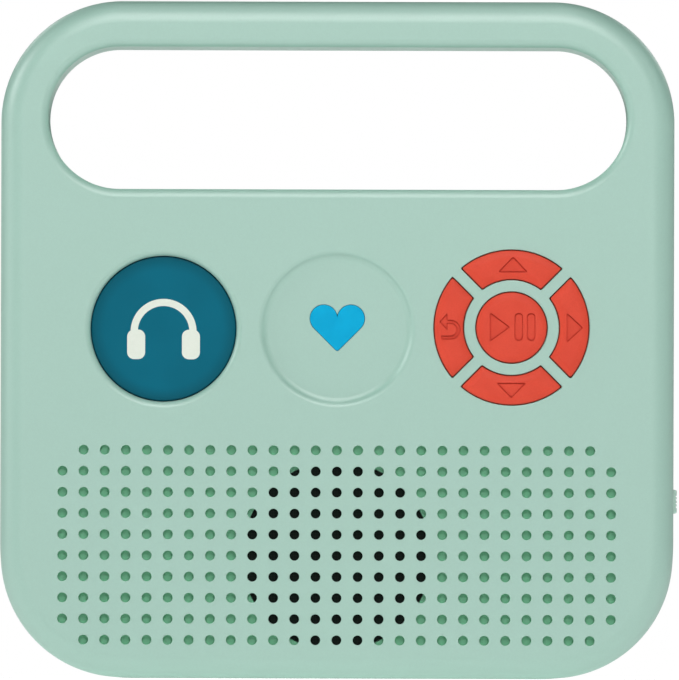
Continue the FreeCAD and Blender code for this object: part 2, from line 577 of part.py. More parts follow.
# ---------------------------------------------------------------- keys of the control pad
Y_K = Y_F - KEY_PROUD
ICON = 0.4
FLANGE_Y0, FLANGE_Y1 = Y_IN + 0.05, Y_IN + 0.85
icons = {
    "up_key": tri(PAD_X, PAD_Z, [(-3.1, 12.3), (3.7, 12.3), (0.3, 15.8)], Y_K - 1),
    "down_key": tri(PAD_X, PAD_Z, [(-3.4, -12.3), (0.0, -15.75), (3.4, -12.3)], Y_K - 1),
    "next_key": tri(PAD_X, PAD_Z, [(12.3, -3.4), (15.95, 0.0), (12.3, 3.4)], Y_K - 1),
}
ring_cap = key_solid(lambda y: segment_wire(0.0, y, 0.0), Y_K, FLANGE_Y0 + 0.2, 0.35, 0.5 * (PAD_RI + PAD_RO), 0.5 * (PAD_RO - PAD_RI))
for name, turn in TURNS.items():
    cap = ring_cap.copy()
    cap.rotate(V(PAD_X, 0, PAD_Z), V(0, -1, 0), turn)
    flange = slab(segment_wire(0.75, FLANGE_Y0, turn), FLANGE_Y1 - FLANGE_Y0)
    a = math.radians(90 + turn)
    sx, sz = PAD_X + 14.0 * math.cos(a), PAD_Z + 14.0 * math.sin(a)
    k = fuse([cap, flange, cyl(sx, sz, 1.9, FLANGE_Y1 - 0.1, -16.6)])
    if name in icons:
        k = k.cut(slab(icons[name], 1 + ICON))
    else:
        # return arrow: head to the left, tail curving right and back
        bx, bz = PAD_X - 13.65, PAD_Z - 0.15
        y = Y_K - 1
        head = tri(bx, bz, [(-2.45, 1.4), (-0.6, 3.35), (-0.6, -0.55)], y)
        bar = box(bx - 0.7, bx + 0.2, y, y + 1 + ICON, bz + 0.95, bz + 1.85)
        bend = ring_slab(Part.Wire([Part.makeCircle(2.2, V(bx + 0.1, y, bz - 0.35), V(0, 1, 0))]),
                         Part.Wire([Part.makeCircle(1.3, V(bx + 0.1, y, bz - 0.35), V(0, 1, 0))]), 1 + ICON)
        bend = bend.common(box(bx + 0.1, bx + 4, y, y + 3, bz - 4, bz + 4))
        foot = box(bx - 2.0, bx + 0.2, y, y + 1 + ICON, bz - 2.55, bz - 1.65)
        k = k.cut(fuse([slab(head, 1 + ICON), bar, bend, foot]))
    put(name, k.removeSplitter())

pc = key_solid(lambda y: Part.Wire([Part.makeCircle(PAD_RC, V(PAD_X, y, PAD_Z), V(0, 1, 0))]), Y_K, FLANGE_Y0 + 0.2, 0.0, 0.0, PAD_RC)
pc = fuse([pc, cyl(PAD_X, PAD_Z, PAD_RC + 0.75, FLANGE_Y0, FLANGE_Y1), cyl(PAD_X, PAD_Z, 1.9, FLANGE_Y1 - 0.1, -16.6)])
y = Y_K - 1
pc = pc.cut(Part.makeCompound([
    slab(tri(PAD_X, PAD_Z, [(-4.8, -3.2), (-0.3, 0.1), (-4.8, 3.4)], y), 1 + ICON),
    slab(stadium_z(PAD_X + 1.62, PAD_Z + 0.15, 3.1, 0.95, y), 1 + ICON),
    slab(stadium_z(PAD_X + 4.37, PAD_Z + 0.15, 3.1, 0.95, y), 1 + ICON)]))
put("play_pause_key", pc)

# ---------------------------------------------------------------- button board
bb = rbox(-19.0, 58.0, BB_Y, BB_Y + PCB_T, 59.0, 97.0, 2.0)
bb = bb.cut(Part.makeCompound([cyl(x, z, 1.15, BB_Y - 1, BB_Y + 3) for x, z in BOARD_POSTS]))
put("button_board", bb)
SW = {"favourite": [(FAV_X - 9.5, FAV_Z), (FAV_X + 9.5, FAV_Z)],
      "up": [(PAD_X, PAD_Z + 14.0)], "down": [(PAD_X, PAD_Z - 14.0)],
      "back": [(PAD_X - 14.0, PAD_Z)], "next": [(PAD_X + 14.0, PAD_Z)], "play_pause": [(PAD_X, PAD_Z)]}
bodies = []
for name, spots in SW.items():
    for x, z in spots:
        b = rbox(x - 3, x + 3, BB_Y - 3.5, BB_Y, z - 3, z + 3, 0.4)
        bodies.append(b.cut(cyl(x, z, 1.75, BB_Y - 4, BB_Y - 1.0)))
put("tact_switches", Part.makeCompound(bodies))
for name, spots in SW.items():
    pl = [cyl(x, z, 1.68, -16.6, BB_Y - 2.0) for x, z in spots]
    pl = [p.makeFillet(0.3, [e for e in p.Edges if near_y(e, BB_Y - 2.0)]) for p in pl]
    put(name + "_plunger" + ("s" if len(spots) > 1 else ""), pl[0] if len(pl) == 1 else Part.makeCompound(pl))
led = fuse([rbox(-1.75, 1.75, BB_Y - 1.0, BB_Y, HEART_Z - 3.15, HEART_Z - 0.35, 0.2), cyl(0, HEART_Z - 1.75, 1.15, BB_Y - 1.5, BB_Y - 0.9)])
put("heart_led", led)
put("button_board_screws", Part.makeCompound([screw(x, z, BB_Y + PCB_T, 1.9, 1.2, 0.8, 5.5) for x, z in BOARD_POSTS]))

# ---------------------------------------------------------------- main board
mb = rbox(MB_X0, MB_X1, MB_Y, MB_Y + PCB_T, MB_Z0, MB_Z1, 1.0)
mb = mb.cut(Part.makeCompound([cyl(x, z, 1.15, MB_Y - 1, MB_Y + 3) for x, z in MB_POSTS]))
put("main_board", mb)
yb = MB_Y + PCB_T
# screws come from the front side of the board into the posts of the rear shell
mb_screws = []
for x, z in MB_POSTS:
    a = cyl(x, z, 1.9, MB_Y - 1.2, MB_Y)
    a = a.makeFillet(0.5, [e for e in a.Edges if near_y(e, MB_Y - 1.2)])
    s = a.fuse(cyl(x, z, 0.8, MB_Y - 0.2, MB_Y + 6.5))
    s = s.cut(box(x - 1.2, x + 1.2, MB_Y - 2, MB_Y - 0.6, z - 0.2, z + 0.2)).cut(box(x - 0.2, x + 0.2, MB_Y - 2, MB_Y - 0.6, z - 1.2, z + 1.2))
    mb_screws.append(s.removeSplitter())
put("main_board_screws", Part.makeCompound(mb_screws))
chips = [rbox(44.0, 54.0, MB_Y - 1.0, MB_Y, 42.0, 52.0, 0.3), rbox(57.5, 62.5, MB_Y - 0.9, MB_Y, 33.0, 39.0, 0.3),
         rbox(57.5, 64.5, MB_Y - 1.1, MB_Y, 47.0, 52.5, 0.3), rbox(45.0, 49.0, MB_Y - 1.2, MB_Y, 33.0, 37.0, 0.5),
         rbox(57.0, 60.5, MB_Y - 0.7, MB_Y, 25.0, 29.0, 0.2)]
for k in range(4):
    chips.append(rbox(56.0 + 2.6 * k, 57.4 + 2.6 * k, MB_Y - 0.7, MB_Y, 42.5, 44.8, 0.15))
put("main_board_chips", Part.makeCompound(chips))

# charging receptacle: metal shell and tongue
def obround_x(x0, x1, hz, hy, y, z):
    b = box(x0, x1, y - hy, y + hy, z - hz, z + hz)
    es = [e for e in b.Edges if e.BoundBox.XLength > 0.5 and e.BoundBox.YLength < 1e-6 and e.BoundBox.ZLength < 1e-6]
    return b.makeFillet(hy * 0.97, es)


usb = obround_x(65.2, 72.5, 4.47, 1.63, usb_y, USB_Z).cut(obround_x(66.0, 74.0, 4.17, 1.33, usb_y, USB_Z))
put("usb_port", usb)
put("usb_tongue", fuse([obround_x(66.0, 66.8, 4.17, 1.33, usb_y, USB_Z), box(66.5, 71.7, usb_y - 0.35, usb_y + 0.35, USB_Z - 3.35, USB_Z + 3.35)]))

# headphone jack: block with a round nose and a bore
jy = yb + 2.6
jack = fuse([rbox(58.8, 71.0, yb, yb + 5.2, JACK_Z - 3.25, JACK_Z + 3.25, 0.4), cyl_x(jy, JACK_Z, 2.55, 70.5, 73.4)])
jack = jack.cut(cyl_x(jy, JACK_Z, JACK_R, 73.4 - JACK_L, 75.0))
put("headphone_jack", jack)

# slide switch: body on the board, lever and knob move together
sb = rbox(66.2, 70.6, yb, yb + 3.6, SLIDE_Z - SLIDE_TRAVEL - 2.6, SLIDE_Z + 2.6, 0.3)
sb = sb.cut(box(68.0, 71.5, SLIDE_Y - 0.85, SLIDE_Y + 0.85, SLIDE_Z - SLIDE_TRAVEL - 1.1, SLIDE_Z + 1.1))
put("power_switch", sb)
put("switch_lever", box(68.3, 71.45, SLIDE_Y - 0.75, SLIDE_Y + 0.75, SLIDE_Z - 0.75, SLIDE_Z + 0.75))
# knob: retaining plate behind the wall, neck through the slot, tapered grip outside
plate = rbox(71.45, 72.35, SLIDE_Y - 2.6, SLIDE_Y + 2.6, SLIDE_Z - 5.9, SLIDE_Z + 5.9, 0.6, axis="x")
neck = box(72.2, 75.1, SLIDE_Y - 1.3, SLIDE_Y + 1.3, SLIDE_Z - 2.3, SLIDE_Z + 2.3)
x_out = W / 2 + SLIDE_PROUD


def grip():
    b0 = [V(75.05, SLIDE_Y + sy * 2.0, SLIDE_Z + sz * 2.7) for sy, sz in ((-1, -1), (1, -1), (1, 1), (-1, 1))]
    b1 = [V(x_out, SLIDE_Y + sy * 1.5, SLIDE_Z + sz * 2.5) for sy, sz in ((-1, -1), (1, -1), (1, 1), (-1, 1))]
    w0 = Part.Wire([seg(b0[i], b0[(i + 1) % 4]) for i in range(4)])
    w1 = Part.Wire([seg(b1[i], b1[(i + 1) % 4]) for i in range(4)])
    return Part.makeLoft([w0, w1], True, True)


knob = fuse([plate, neck, grip()])
knob = knob.cut(Part.makeCompound([box(x_out - 0.2, x_out + 1, SLIDE_Y - 2.2, SLIDE_Y + 2.2, SLIDE_Z + d - 0.15, SLIDE_Z + d + 0.15) for d in (-1.2, -0.4, 0.4, 1.2)]))
put("power_slider", knob)

# ---------------------------------------------------------------- loudspeaker
gasket = rev(poly([(21.3, Y_IN), (24.0, Y_IN), (24.0, -17.6), (21.3, -17.6)]), SPK_X, SPK_Z)
put("speaker_gasket", gasket)
put("speaker_cloth", rev(poly([(0, Y_IN - POCKET_D), (20.9, Y_IN - POCKET_D), (20.9, Y_IN - POCKET_D + 0.3), (0, Y_IN - POCKET_D + 0.3)]), SPK_X, SPK_Z))
frame = rev(poly([(21.2, -17.6), (24.0, -17.6), (24.0, -16.8), (21.9, -16.8), (21.2, -12.0), (14.5, -6.0), (14.5, -5.2), (6.2, -5.2), (6.2, -6.0),
                  (13.8, -6.0), (20.4, -12.2), (20.9, -17.0)]), SPK_X, SPK_Z)
wins = []
for a in (0, 90, 180, 270):
    w = box(-4.5, 4.5, -11.5, -6.6, 12.0, 24.0)
    w.rotate(V(0, 0, 0), V(0, 1, 0), a)
    w.translate(V(SPK_X, 0, SPK_Z))
    wins.append(w)
frame = frame.cut(Part.makeCompound(wins))
put("speaker_frame", frame)
put("speaker_magnet", fuse([cyl(SPK_X, SPK_Z, 11.0, -5.2, -4.0), cyl(SPK_X, SPK_Z, 11.6, -4.0, 1.0), cyl(SPK_X, SPK_Z, 11.0, 1.0, 2.2), cyl(SPK_X, SPK_Z, 4.6, -8.0, -5.0)]))
# surround: half roll; cone and voice-coil former; dust cap
sur_o, q0, q1 = rarc((18.6, -17.0), 1.5, 180, 360)
sur_i, s0, s1 = rarc((18.6, -17.0), 1.1, 360, 180)
sur = rev([sur_o, seg(q1, V(20.85, -17.0, 0)), seg(V(20.85, -17.0, 0), V(20.8, -16.6, 0)), seg(V(20.8, -16.6, 0), V(19.7, -16.6, 0)),
           seg(V(19.7, -16.6, 0), s0), sur_i, seg(s1, V(17.5, -16.6, 0)), seg(V(17.5, -16.6, 0), V(16.8, -16.6, 0)),
           seg(V(16.8, -16.6, 0), V(16.8, -17.0, 0)), seg(V(16.8, -17.0, 0), q0)], SPK_X, SPK_Z)
put("speaker_surround", sur)
cone = rev(poly([(17.4, -16.6), (16.8, -16.2), (5.9, -9.8), (5.9, -5.6), (5.3, -5.6), (5.3, -10.2), (16.6, -16.6)]), SPK_X, SPK_Z)
put("speaker_cone", cone)
dr = 8.2
da, d0, d1 = rarc((0.0, -5.4), dr, 270, 318)
di, e0, e1 = rarc((0.0, -5.4), dr - 0.35, 318, 270)
cap = rev([da, seg(d1, e0), di, seg(e1, d0)], SPK_X, SPK_Z)
put("speaker_dust_cap", cap)
term = fuse([rbox(12.5, 16.5, -4.3, -3.3, SPK_Z + 8.0, SPK_Z + 14.0, 0.4), box(13.0, 14.0, -5.2, -4.3, SPK_Z + 3.0, SPK_Z + 9.0)])
put("speaker_screws", Part.makeCompound([screw(x, z, -16.8, 3.5, 1.0, 0.8, 1.7) for x, z in SPK_POSTS]))

# ---------------------------------------------------------------- battery
put("battery_pack", rbox(-30.0, 30.0, 9.5, 18.1, 13.2, 48.8, 4.0, axis="x"))
put("battery_foam", Part.makeCompound([box(x - 5, x + 5, 8.6, 9.5, 20.0, 42.0) for x in (-18.0, 18.0)] + [box(x - 5, x + 5, 18.1, 19.2, 20.0, 42.0) for x in (-18.0, 18.0)]))

# ---------------------------------------------------------------- connectors and internal leads
conn = [rbox(-17.2, -14.6, BB_Y - 1.2, BB_Y, DISP_Z - 6.0, DISP_Z + 6.0, 0.2)]
put("flex_connector", conn[0])
rib_x = 44.5
put("ribbon_sockets", Part.makeCompound([rbox(rib_x - 7.5, rib_x + 7.5, BB_Y + PCB_T, BB_Y + PCB_T + 3.0, 64.0, 68.0, 0.3),
                                         rbox(rib_x - 7.5, rib_x + 7.5, MB_Y - 3.0, MB_Y, 57.0, 61.0, 0.3)]))
put("board_ribbon", strap([(rib_x, BB_Y + PCB_T + 3.0, 66.0), (rib_x, -2.7, 66.0), (rib_x, -2.7, 59.0), (rib_x, MB_Y - 3.0, 59.0)], [2.4, 2.4], (1, 0, 0), 6.35, 0.45))
put("lead_connectors", Part.makeCompound([rbox(37.2, 41.6, MB_Y - 3.4, MB_Y, 43.0, 50.0, 0.3), rbox(36.8, 41.2, yb, yb + 3.4, 28.5, 35.5, 0.3)]))
sp = []
for k, dz in enumerate((-1.0, 1.0)):
    zt = 46.5 + dz
    sp.append(tube([(14.5, -3.3, 37.8 + 1.6 * dz), (14.5, 1.2, 37.8 + 1.6 * dz), (27.0, 0.0, 43.0 + 1.6 * dz), (33.0, -0.6, zt), (39.4, -0.6, zt), (39.4, MB_Y - 3.4, zt)], [2.0, 6.0, 5.0, 1.0], 0.6))
put("speaker_lead", Part.makeCompound(sp))
bl = []
for dz in (-0.8, 0.8):
    bl.append(tube([(30.0, 14.0, 32.2 + dz), (36.5, 14.0, 32.2 + dz), (39.0, 12.6, 32.0 + dz), (39.0, yb + 3.4, 32.0 + dz)], [3.0, 1.6], 0.6))
put("battery_lead", Part.makeCompound(bl))
put("speaker_terminal", term)

# ---------------------------------------------------------------- write the parts
total = 0
for name, s in sorted(parts.items()):
    ok = s.isValid()
    ns = len(s.Solids)
    bb_ = s.BoundBox
    print("%-22s valid=%s solids=%d vol=%.1f  x %.2f..%.2f  y %.2f..%.2f  z %.2f..%.2f" % (name, ok, ns, s.Volume, bb_.XMin, bb_.XMax, bb_.YMin, bb_.YMax, bb_.ZMin, bb_.ZMax))
    if ns == 1:
        s = s.Solids[0]
    s.exportStep("parts/%s.step" % name)
    total += 1
print("nodes", total)
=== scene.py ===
import json
import math

import bpy
import bmesh
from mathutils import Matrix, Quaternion, Vector


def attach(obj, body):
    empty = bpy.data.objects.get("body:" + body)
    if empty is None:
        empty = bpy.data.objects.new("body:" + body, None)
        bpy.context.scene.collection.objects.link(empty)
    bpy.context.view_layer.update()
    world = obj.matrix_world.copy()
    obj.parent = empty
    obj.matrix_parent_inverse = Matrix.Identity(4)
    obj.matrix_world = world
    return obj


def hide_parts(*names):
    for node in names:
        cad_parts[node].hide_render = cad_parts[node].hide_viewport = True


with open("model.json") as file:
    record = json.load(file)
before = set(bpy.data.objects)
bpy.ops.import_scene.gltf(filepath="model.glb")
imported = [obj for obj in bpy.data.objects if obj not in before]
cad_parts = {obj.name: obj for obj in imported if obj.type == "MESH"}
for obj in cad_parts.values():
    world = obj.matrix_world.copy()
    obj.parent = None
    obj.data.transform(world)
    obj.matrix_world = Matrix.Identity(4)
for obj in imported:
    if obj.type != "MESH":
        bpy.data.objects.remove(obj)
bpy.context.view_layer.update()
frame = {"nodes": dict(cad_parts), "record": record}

MM = 0.001

# ------------------------------------------------------------------ dimensions, mm (the same as the CAD)
W, H = 150.0, 150.85
Y_F, Y_R, Y_S = -21.0, 21.0, 3.0
R_TOP, X_FLAT, R_LEAD, A_LEAD = 27.1, 44.5, 60.0, 5.7
R_EDGE, WALL, REVEAL = 5.0, 2.4, 0.25
Y_IN, Y_BK = -18.4, 18.6
HAN_Z, HAN_L, HAN_R, HAN_EDGE, HAN_ROLL, HAN_CORNER = 124.79, 64.5, 15.85, 1.95, 70.0, 0.4
DISP_X, DISP_Z, WIN_R, RIM_WIN = -38.7, 77.82, 16.25, 1.5
FAV_X, FAV_Z = 0.0, 77.93
FAV_R, FAV_FLOOR, FAV_GAP = 17.7, -19.74, 0.08           # plate of the favourite button, floor of its dish, gap under the rim
FAV_R0, FAV_R1, FAV_R2, FAV_A = 15.2, 16.6, 17.65, 46.0  # wall of the dish: foot, steepest place, top, steepest angle
FAV_LIP = FAV_FLOOR - (FAV_R1 - FAV_R0) / math.sin(math.radians(FAV_A)) * (1 - math.cos(math.radians(FAV_A)))
FAV_UNDER = FAV_LIP - FAV_GAP
PAD_X, PAD_Z, PAD_RO, PAD_RI, PAD_GAP, PAD_RC = 38.8, 78.27, 17.16, 10.8, 2.98, 7.83
KEY_CLEAR, Y_K = 0.22, -21.6
HEART_Z = 80.19
GR_PITCH, GR_COLS, GR_ROWS, GR_Z, GR_R, GR_DEPTH = 4.70, 27, 10, 29.66, 1.08, 2.0
SPK_X, SPK_Z, POCKET_R, POCKET_D = 0.0, 27.3, 21.1, 1.1
SLIDE_Y, SLIDE_Z = 8.4, 39.75
JACK_Y, JACK_Z, USB_Y, USB_Z = 9.2, 26.2, 8.23, 52.5
CASE_SCREWS = [(-60.0, 15.0), (60.0, 15.0), (-66.2, 99.0), (66.2, 99.0)]
BAR_SCREWS = [(-38.0, 144.1), (38.0, 144.1)]
COV = (-35.0, 35.0, 8.0, 60.0)

# ------------------------------------------------------------------ camera first
S = 0.2227                     # mm to a pixel at the front face
DIST = 7000.0
cam_data = bpy.data.cameras.new("camera")
cam = bpy.data.objects.new("camera", cam_data)
bpy.context.scene.collection.objects.link(cam)
aim = Vector((0.50, Y_F, 75.4))
eye = Vector((16.0, -DIST, 1.0))
cam.location = eye * MM
cam.rotation_mode = "QUATERNION"
cam.rotation_quaternion = (aim - eye).to_track_quat("-Z", "Y") @ Quaternion((0, 0, 1), math.radians(0.17))
cam_data.sensor_width = 36.0
cam_data.lens = 36.0 * (DIST + Y_F) / (680 * S)
cam_data.clip_start, cam_data.clip_end = 0.1, 60.0
cam_data.dof.use_dof = False
bpy.context.scene.camera = cam


# ------------------------------------------------------------------ outlines, as lists of (u, v)
def arc(cx, cz, r, a0, a1, n):
    out = []
    for k in range(n + 1):
        a = math.radians(a0 + (a1 - a0) * k / n)
        out.append((cx + r * math.cos(a), cz + r * math.sin(a)))
    return out


def tidy(pts):
    out = []
    for p in pts:
        if not out or math.hypot(p[0] - out[-1][0], p[1] - out[-1][1]) > 1e-6:
            out.append(p)
    if math.hypot(out[0][0] - out[-1][0], out[0][1] - out[-1][1]) < 1e-6:
        out.pop()
    return out


def outline(d):
    """Outline of the housing, moved inwards by d."""
    f = math.radians(A_LEAD)
    half = W / 2
    ext = half - X_FLAT
    r2 = (ext - R_LEAD * math.sin(f) - R_LEAD * (1 - math.cos(f))) / (math.cos(f) - math.sin(f))
    cx = X_FLAT + (R_LEAD - r2) * math.sin(f)
    cz = R_LEAD - (R_LEAD - r2) * math.cos(f)
    a = A_LEAD
    items = [
        (X_FLAT, R_LEAD, R_LEAD - d, -90, -90 + a, 8),
        (cx, cz, r2 - d, -90 + a, -a, 40),
        (half - R_LEAD, ext, R_LEAD - d, -a, 0, 8),
        (half - R_TOP, H - R_TOP, R_TOP - d, 0, 90, 52),
        (-(half - R_TOP), H - R_TOP, R_TOP - d, 90, 180, 52),
        (-(half - R_LEAD), ext, R_LEAD - d, 180, 180 + a, 8),
        (-cx, cz, r2 - d, 180 + a, 270 - a, 40),
        (-X_FLAT, R_LEAD, R_LEAD - d, 270 - a, 270, 8),
    ]
    pts = []
    for it in items:
        pts += arc(*it)
    return tidy(pts)


def stadium(o):
    """Handle opening, moved outwards by o."""
    hl, r = HAN_L + o, HAN_R + o
    return arc(hl - r, HAN_Z, r, -90, 90, 56) + arc(-hl + r, HAN_Z, r, 90, 270, 56)


def stadium_z(cx, cz, hl, r, n=14):
    return arc(cx, cz + hl - r, r, 0, 180, n) + arc(cx, cz - hl + r, r, 180, 360, n)


def circle(cx, cz, r, n):
    return [(cx + r * math.cos(2 * math.pi * k / n), cz + r * math.sin(2 * math.pi * k / n)) for k in range(n)]


def rrect(x0, x1, z0, z1, r, n=8):
    r = max(r, 0.01)
    return (arc(x1 - r, z1 - r, r, 0, 90, n) + arc(x0 + r, z1 - r, r, 90, 180, n)
            + arc(x0 + r, z0 + r, r, 180, 270, n) + arc(x1 - r, z0 + r, r, 270, 360, n))


def turned(pts, deg, cx=0.0, cz=0.0):
    a = math.radians(deg)
    c, s = math.cos(a), math.sin(a)
    return [(cx + u * c - v * s, cz + u * s + v * c) for u, v in pts]


def grown(pts, o):
    """A counter-clockwise polygon with every side moved outwards by o, corners mitred."""
    n, out = len(pts), []
    for i in range(n):
        a, b, c = pts[i - 1], pts[i], pts[(i + 1) % n]
        d1 = (b[0] - a[0], b[1] - a[1])
        d2 = (c[0] - b[0], c[1] - b[1])
        l1, l2 = math.hypot(*d1), math.hypot(*d2)
        n1, n2 = (d1[1] / l1, -d1[0] / l1), (d2[1] / l2, -d2[0] / l2)
        k = 1 + n1[0] * n2[0] + n1[1] * n2[1]
        out.append((b[0] + o * (n1[0] + n2[0]) / k, b[1] + o * (n1[1] + n2[1]) / k))
    return out


def rounded(pts, r, n=6):
    """A counter-clockwise polygon with its corners rounded by r (or less where a side is short)."""
    m, out = len(pts), []
    for i in range(m):
        a, b, c = Vector(pts[i - 1]), Vector(pts[i]), Vector(pts[(i + 1) % m])
        u, w = (a - b).normalized(), (c - b).normalized()
        cosang = max(-1.0, min(1.0, u.dot(w)))
        ang = math.acos(cosang)
        if ang > math.radians(172):
            out.append(tuple(b))
            continue
        t = min(r / math.tan(ang / 2), 0.45 * (a - b).length, 0.45 * (c - b).length)
        rr = t * math.tan(ang / 2)
        s, e = b + u * t, b + w * t
        cen = b + (u + w).normalized() * (rr / math.sin(ang / 2))
        a0 = math.atan2(s.y - cen.y, s.x - cen.x)
        a1 = math.atan2(e.y - cen.y, e.x - cen.x)
        while a1 - a0 > math.pi:
            a1 -= 2 * math.pi
        while a1 - a0 < -math.pi:
            a1 += 2 * math.pi
        for k in range(n + 1):
            q = a0 + (a1 - a0) * k / n
            out.append((cen.x + rr * math.cos(q), cen.y + rr * math.sin(q)))
    return out


def segment(off, rc=0.0, no=40, ns=12, ni=30, nc=5):
    """Ring-segment key pointing up, about the pad's axis, moved outwards by off, corners rounded by rc. Counter-clockwise."""
    o = off - rc
    c = (PAD_GAP / 2 - o) * math.sqrt(2)
    ro, ri = PAD_RO + o, PAD_RI - o
    uo = (-c + math.sqrt(2 * ro * ro - c * c)) / 2
    ui = (-c + math.sqrt(2 * ri * ri - c * c)) / 2
    s = math.sqrt(0.5)
    ao = math.degrees(math.atan2(uo + c, uo))
    ai = math.degrees(math.atan2(ui + c, ui))
    runs = []
    runs.append([(p, (p[0] / ro, p[1] / ro)) for p in arc(0, 0, ro, ao, 180 - ao, no)])
    a, b = (-uo, uo + c), (-ui, ui + c)
    runs.append([((a[0] + (b[0] - a[0]) * k / ns, a[1] + (b[1] - a[1]) * k / ns), (-s, -s)) for k in range(ns + 1)])
    runs.append([(p, (-p[0] / ri, -p[1] / ri)) for p in arc(0, 0, ri, 180 - ai, ai, ni)])
    a, b = (ui, ui + c), (uo, uo + c)
    runs.append([((a[0] + (b[0] - a[0]) * k / ns, a[1] + (b[1] - a[1]) * k / ns), (s, -s)) for k in range(ns + 1)])
    out = []
    for i, run in enumerate(runs):
        out += [(p[0] + rc * m[0], p[1] + rc * m[1]) for p, m in run]
        if rc > 0:
            p, m0 = run[-1]
            m1 = runs[(i + 1) % 4][0][1]
            a0, a1 = math.atan2(m0[1], m0[0]), math.atan2(m1[1], m1[0])
            while a1 < a0:
                a1 += 2 * math.pi
            for k in range(1, nc):
                q = a0 + (a1 - a0) * k / nc
                out.append((p[0] + rc * math.cos(q), p[1] + rc * math.sin(q)))
    return out if rc > 0 else tidy(out)


def heart(off, n=40):
    """Heart outline, moved outwards by off; moved inwards, the notch becomes a small arc."""
    r, xc, zc, rt = 3.05, 3.03, HEART_Z, 0.5
    s = math.sqrt(0.5)
    cusp = math.degrees(math.atan2(math.sqrt(r * r - xc * xc), -xc))
    prx, prz = xc + r * s, zc - r * s
    cz = prz - prx + rt * math.sqrt(2)
    if off > 0:
        cusp = math.degrees(math.atan2(math.sqrt((r + off) ** 2 - xc * xc), -xc))
    right = arc(xc, zc, r + off, -45, cusp, n)
    left = [(-x, z) for x, z in reversed(right)]
    if off < 0:
        notch = (0.0, zc + math.sqrt(r * r - xc * xc))
        a = cusp - 180
        right += arc(notch[0], notch[1], -off, a, -180 - a, 8)[1:-1] if False else \
            [(notch[0] - off * math.cos(math.radians(q)), notch[1] - off * math.sin(math.radians(q)))
             for q in [(cusp + 180) + ((360 - cusp) - (cusp + 180)) * k / 8 for k in range(1, 8)]]
    return right + left + arc(0, cz, rt + off, 225, 315, 10)


# ------------------------------------------------------------------ mesh building
def link(name, me):
    ob = bpy.data.objects.new(name, me)
    bpy.context.scene.collection.objects.link(ob)
    return ob


def from_data(name, verts, faces):
    me = bpy.data.meshes.new(name)
    me.from_pydata([(x * MM, y * MM, z * MM) for x, y, z in verts], [], faces)
    bm = bmesh.new()
    bm.from_mesh(me)
    bmesh.ops.remove_doubles(bm, verts=bm.verts, dist=1e-8)
    bmesh.ops.recalc_face_normals(bm, faces=bm.faces)
    bm.to_mesh(me)
    bm.free()
    return link(name, me)


def place(u, level, v, plane):
    return (u, level, v) if plane == "y" else (level, u, v)


def loft_data(loops, plane="y", start=0):
    """Closed skin over loops [(points, level)], capped at both ends."""
    verts, faces = [], []
    n = len(loops[0][0])
    for pts, level in loops:
        assert len(pts) == n, (len(pts), n)
        verts += [place(u, level, v, plane) for u, v in pts]
    for k in range(len(loops) - 1):
        for i in range(n):
            j = (i + 1) % n
            faces.append((start + k * n + i, start + k * n + j, start + (k + 1) * n + j, start + (k + 1) * n + i))
    faces.append(tuple(start + i for i in reversed(range(n))))
    last = (len(loops) - 1) * n
    faces.append(tuple(start + last + i for i in range(n)))
    return verts, faces


def loft(name, loops, plane="y"):
    v, f = loft_data(loops, plane)
    return from_data(name, v, f)


def many(name, stacks, plane="y"):
    """One object of several separate closed lofts."""
    verts, faces = [], []
    for loops in stacks:
        v, f = loft_data(loops, plane, len(verts))
        verts += v
        faces += f
    return from_data(name, verts, faces)


def fillet_steps(f, n):
    """(inset, rise) from the wall to the face of a rounded outer edge of radius f."""
    return [(f * (1 - math.cos(math.radians(90 * k / n))), f * math.sin(math.radians(90 * k / n))) for k in range(n + 1)]


def trumpet(shape, f, y_face, y_deep, n, front=-1):
    """Cutter for a hole whose rim is rounded by f. shape(o) is the outline moved outwards by o; front is the side the face looks to."""
    s = fillet_steps(f, n)
    loops = [(shape(0.0), y_deep)]
    for o, rise in s:
        loops.append((shape(o), y_face - front * (f - rise)))
    (o0, r0), (o1, r1) = s[-2], s[-1]
    loops[-1] = (shape(o1 + 0.5 * (o1 - o0)), y_face + front * 0.5 * (r1 - r0))
    loops.append((shape(o1 + 0.5 * (o1 - o0)), y_face + front * 1.5))
    return loops


def rolled(shape, y_face, y_deep, front):
    """Cutter for the handle opening: a shallow roll off the face, then a tight corner into the wall."""
    t = math.radians(HAN_ROLL)
    big = (HAN_EDGE - HAN_CORNER * (1 - math.sin(t))) / math.sin(t)
    deep = big * (1 - math.cos(t)) + HAN_CORNER * math.cos(t)
    prof = [(0.0, deep)]
    for k in range(1, 7):
        a = math.pi / 2 - (math.pi / 2 - t) * k / 6
        prof.append((HAN_CORNER * (1 - math.sin(a)), deep - HAN_CORNER * math.cos(a)))
    for k in range(1, 11):
        a = t * (1 - k / 10)
        prof.append((HAN_EDGE - big * math.sin(a), big * (1 - math.cos(a))))
    prof[-1] = (HAN_EDGE + 0.06, -0.003)
    return [(shape(0.0), y_deep)] + [(shape(o), y_face - front * d) for o, d in prof] + [(shape(HAN_EDGE + 0.06), y_face + front * 1.5)]


def boolean(ob, other, op="DIFFERENCE"):
    m = ob.modifiers.new("cut", "BOOLEAN")
    m.operation = op
    m.object = other
    m.solver = "MANIFOLD"
    bpy.context.view_layer.update()
    me = bpy.data.meshes.new_from_object(ob.evaluated_get(bpy.context.evaluated_depsgraph_get()))
    if len(me.polygons) < 4:
        raise RuntimeError("boolean %s of %s with %s came back empty" % (op, ob.name, other.name))
    ob.modifiers.clear()
    old = ob.data
    ob.data = me
    me.name = ob.name
    bpy.data.meshes.remove(old)
    gone = other.data
    bpy.data.objects.remove(other)
    bpy.data.meshes.remove(gone)
    return ob


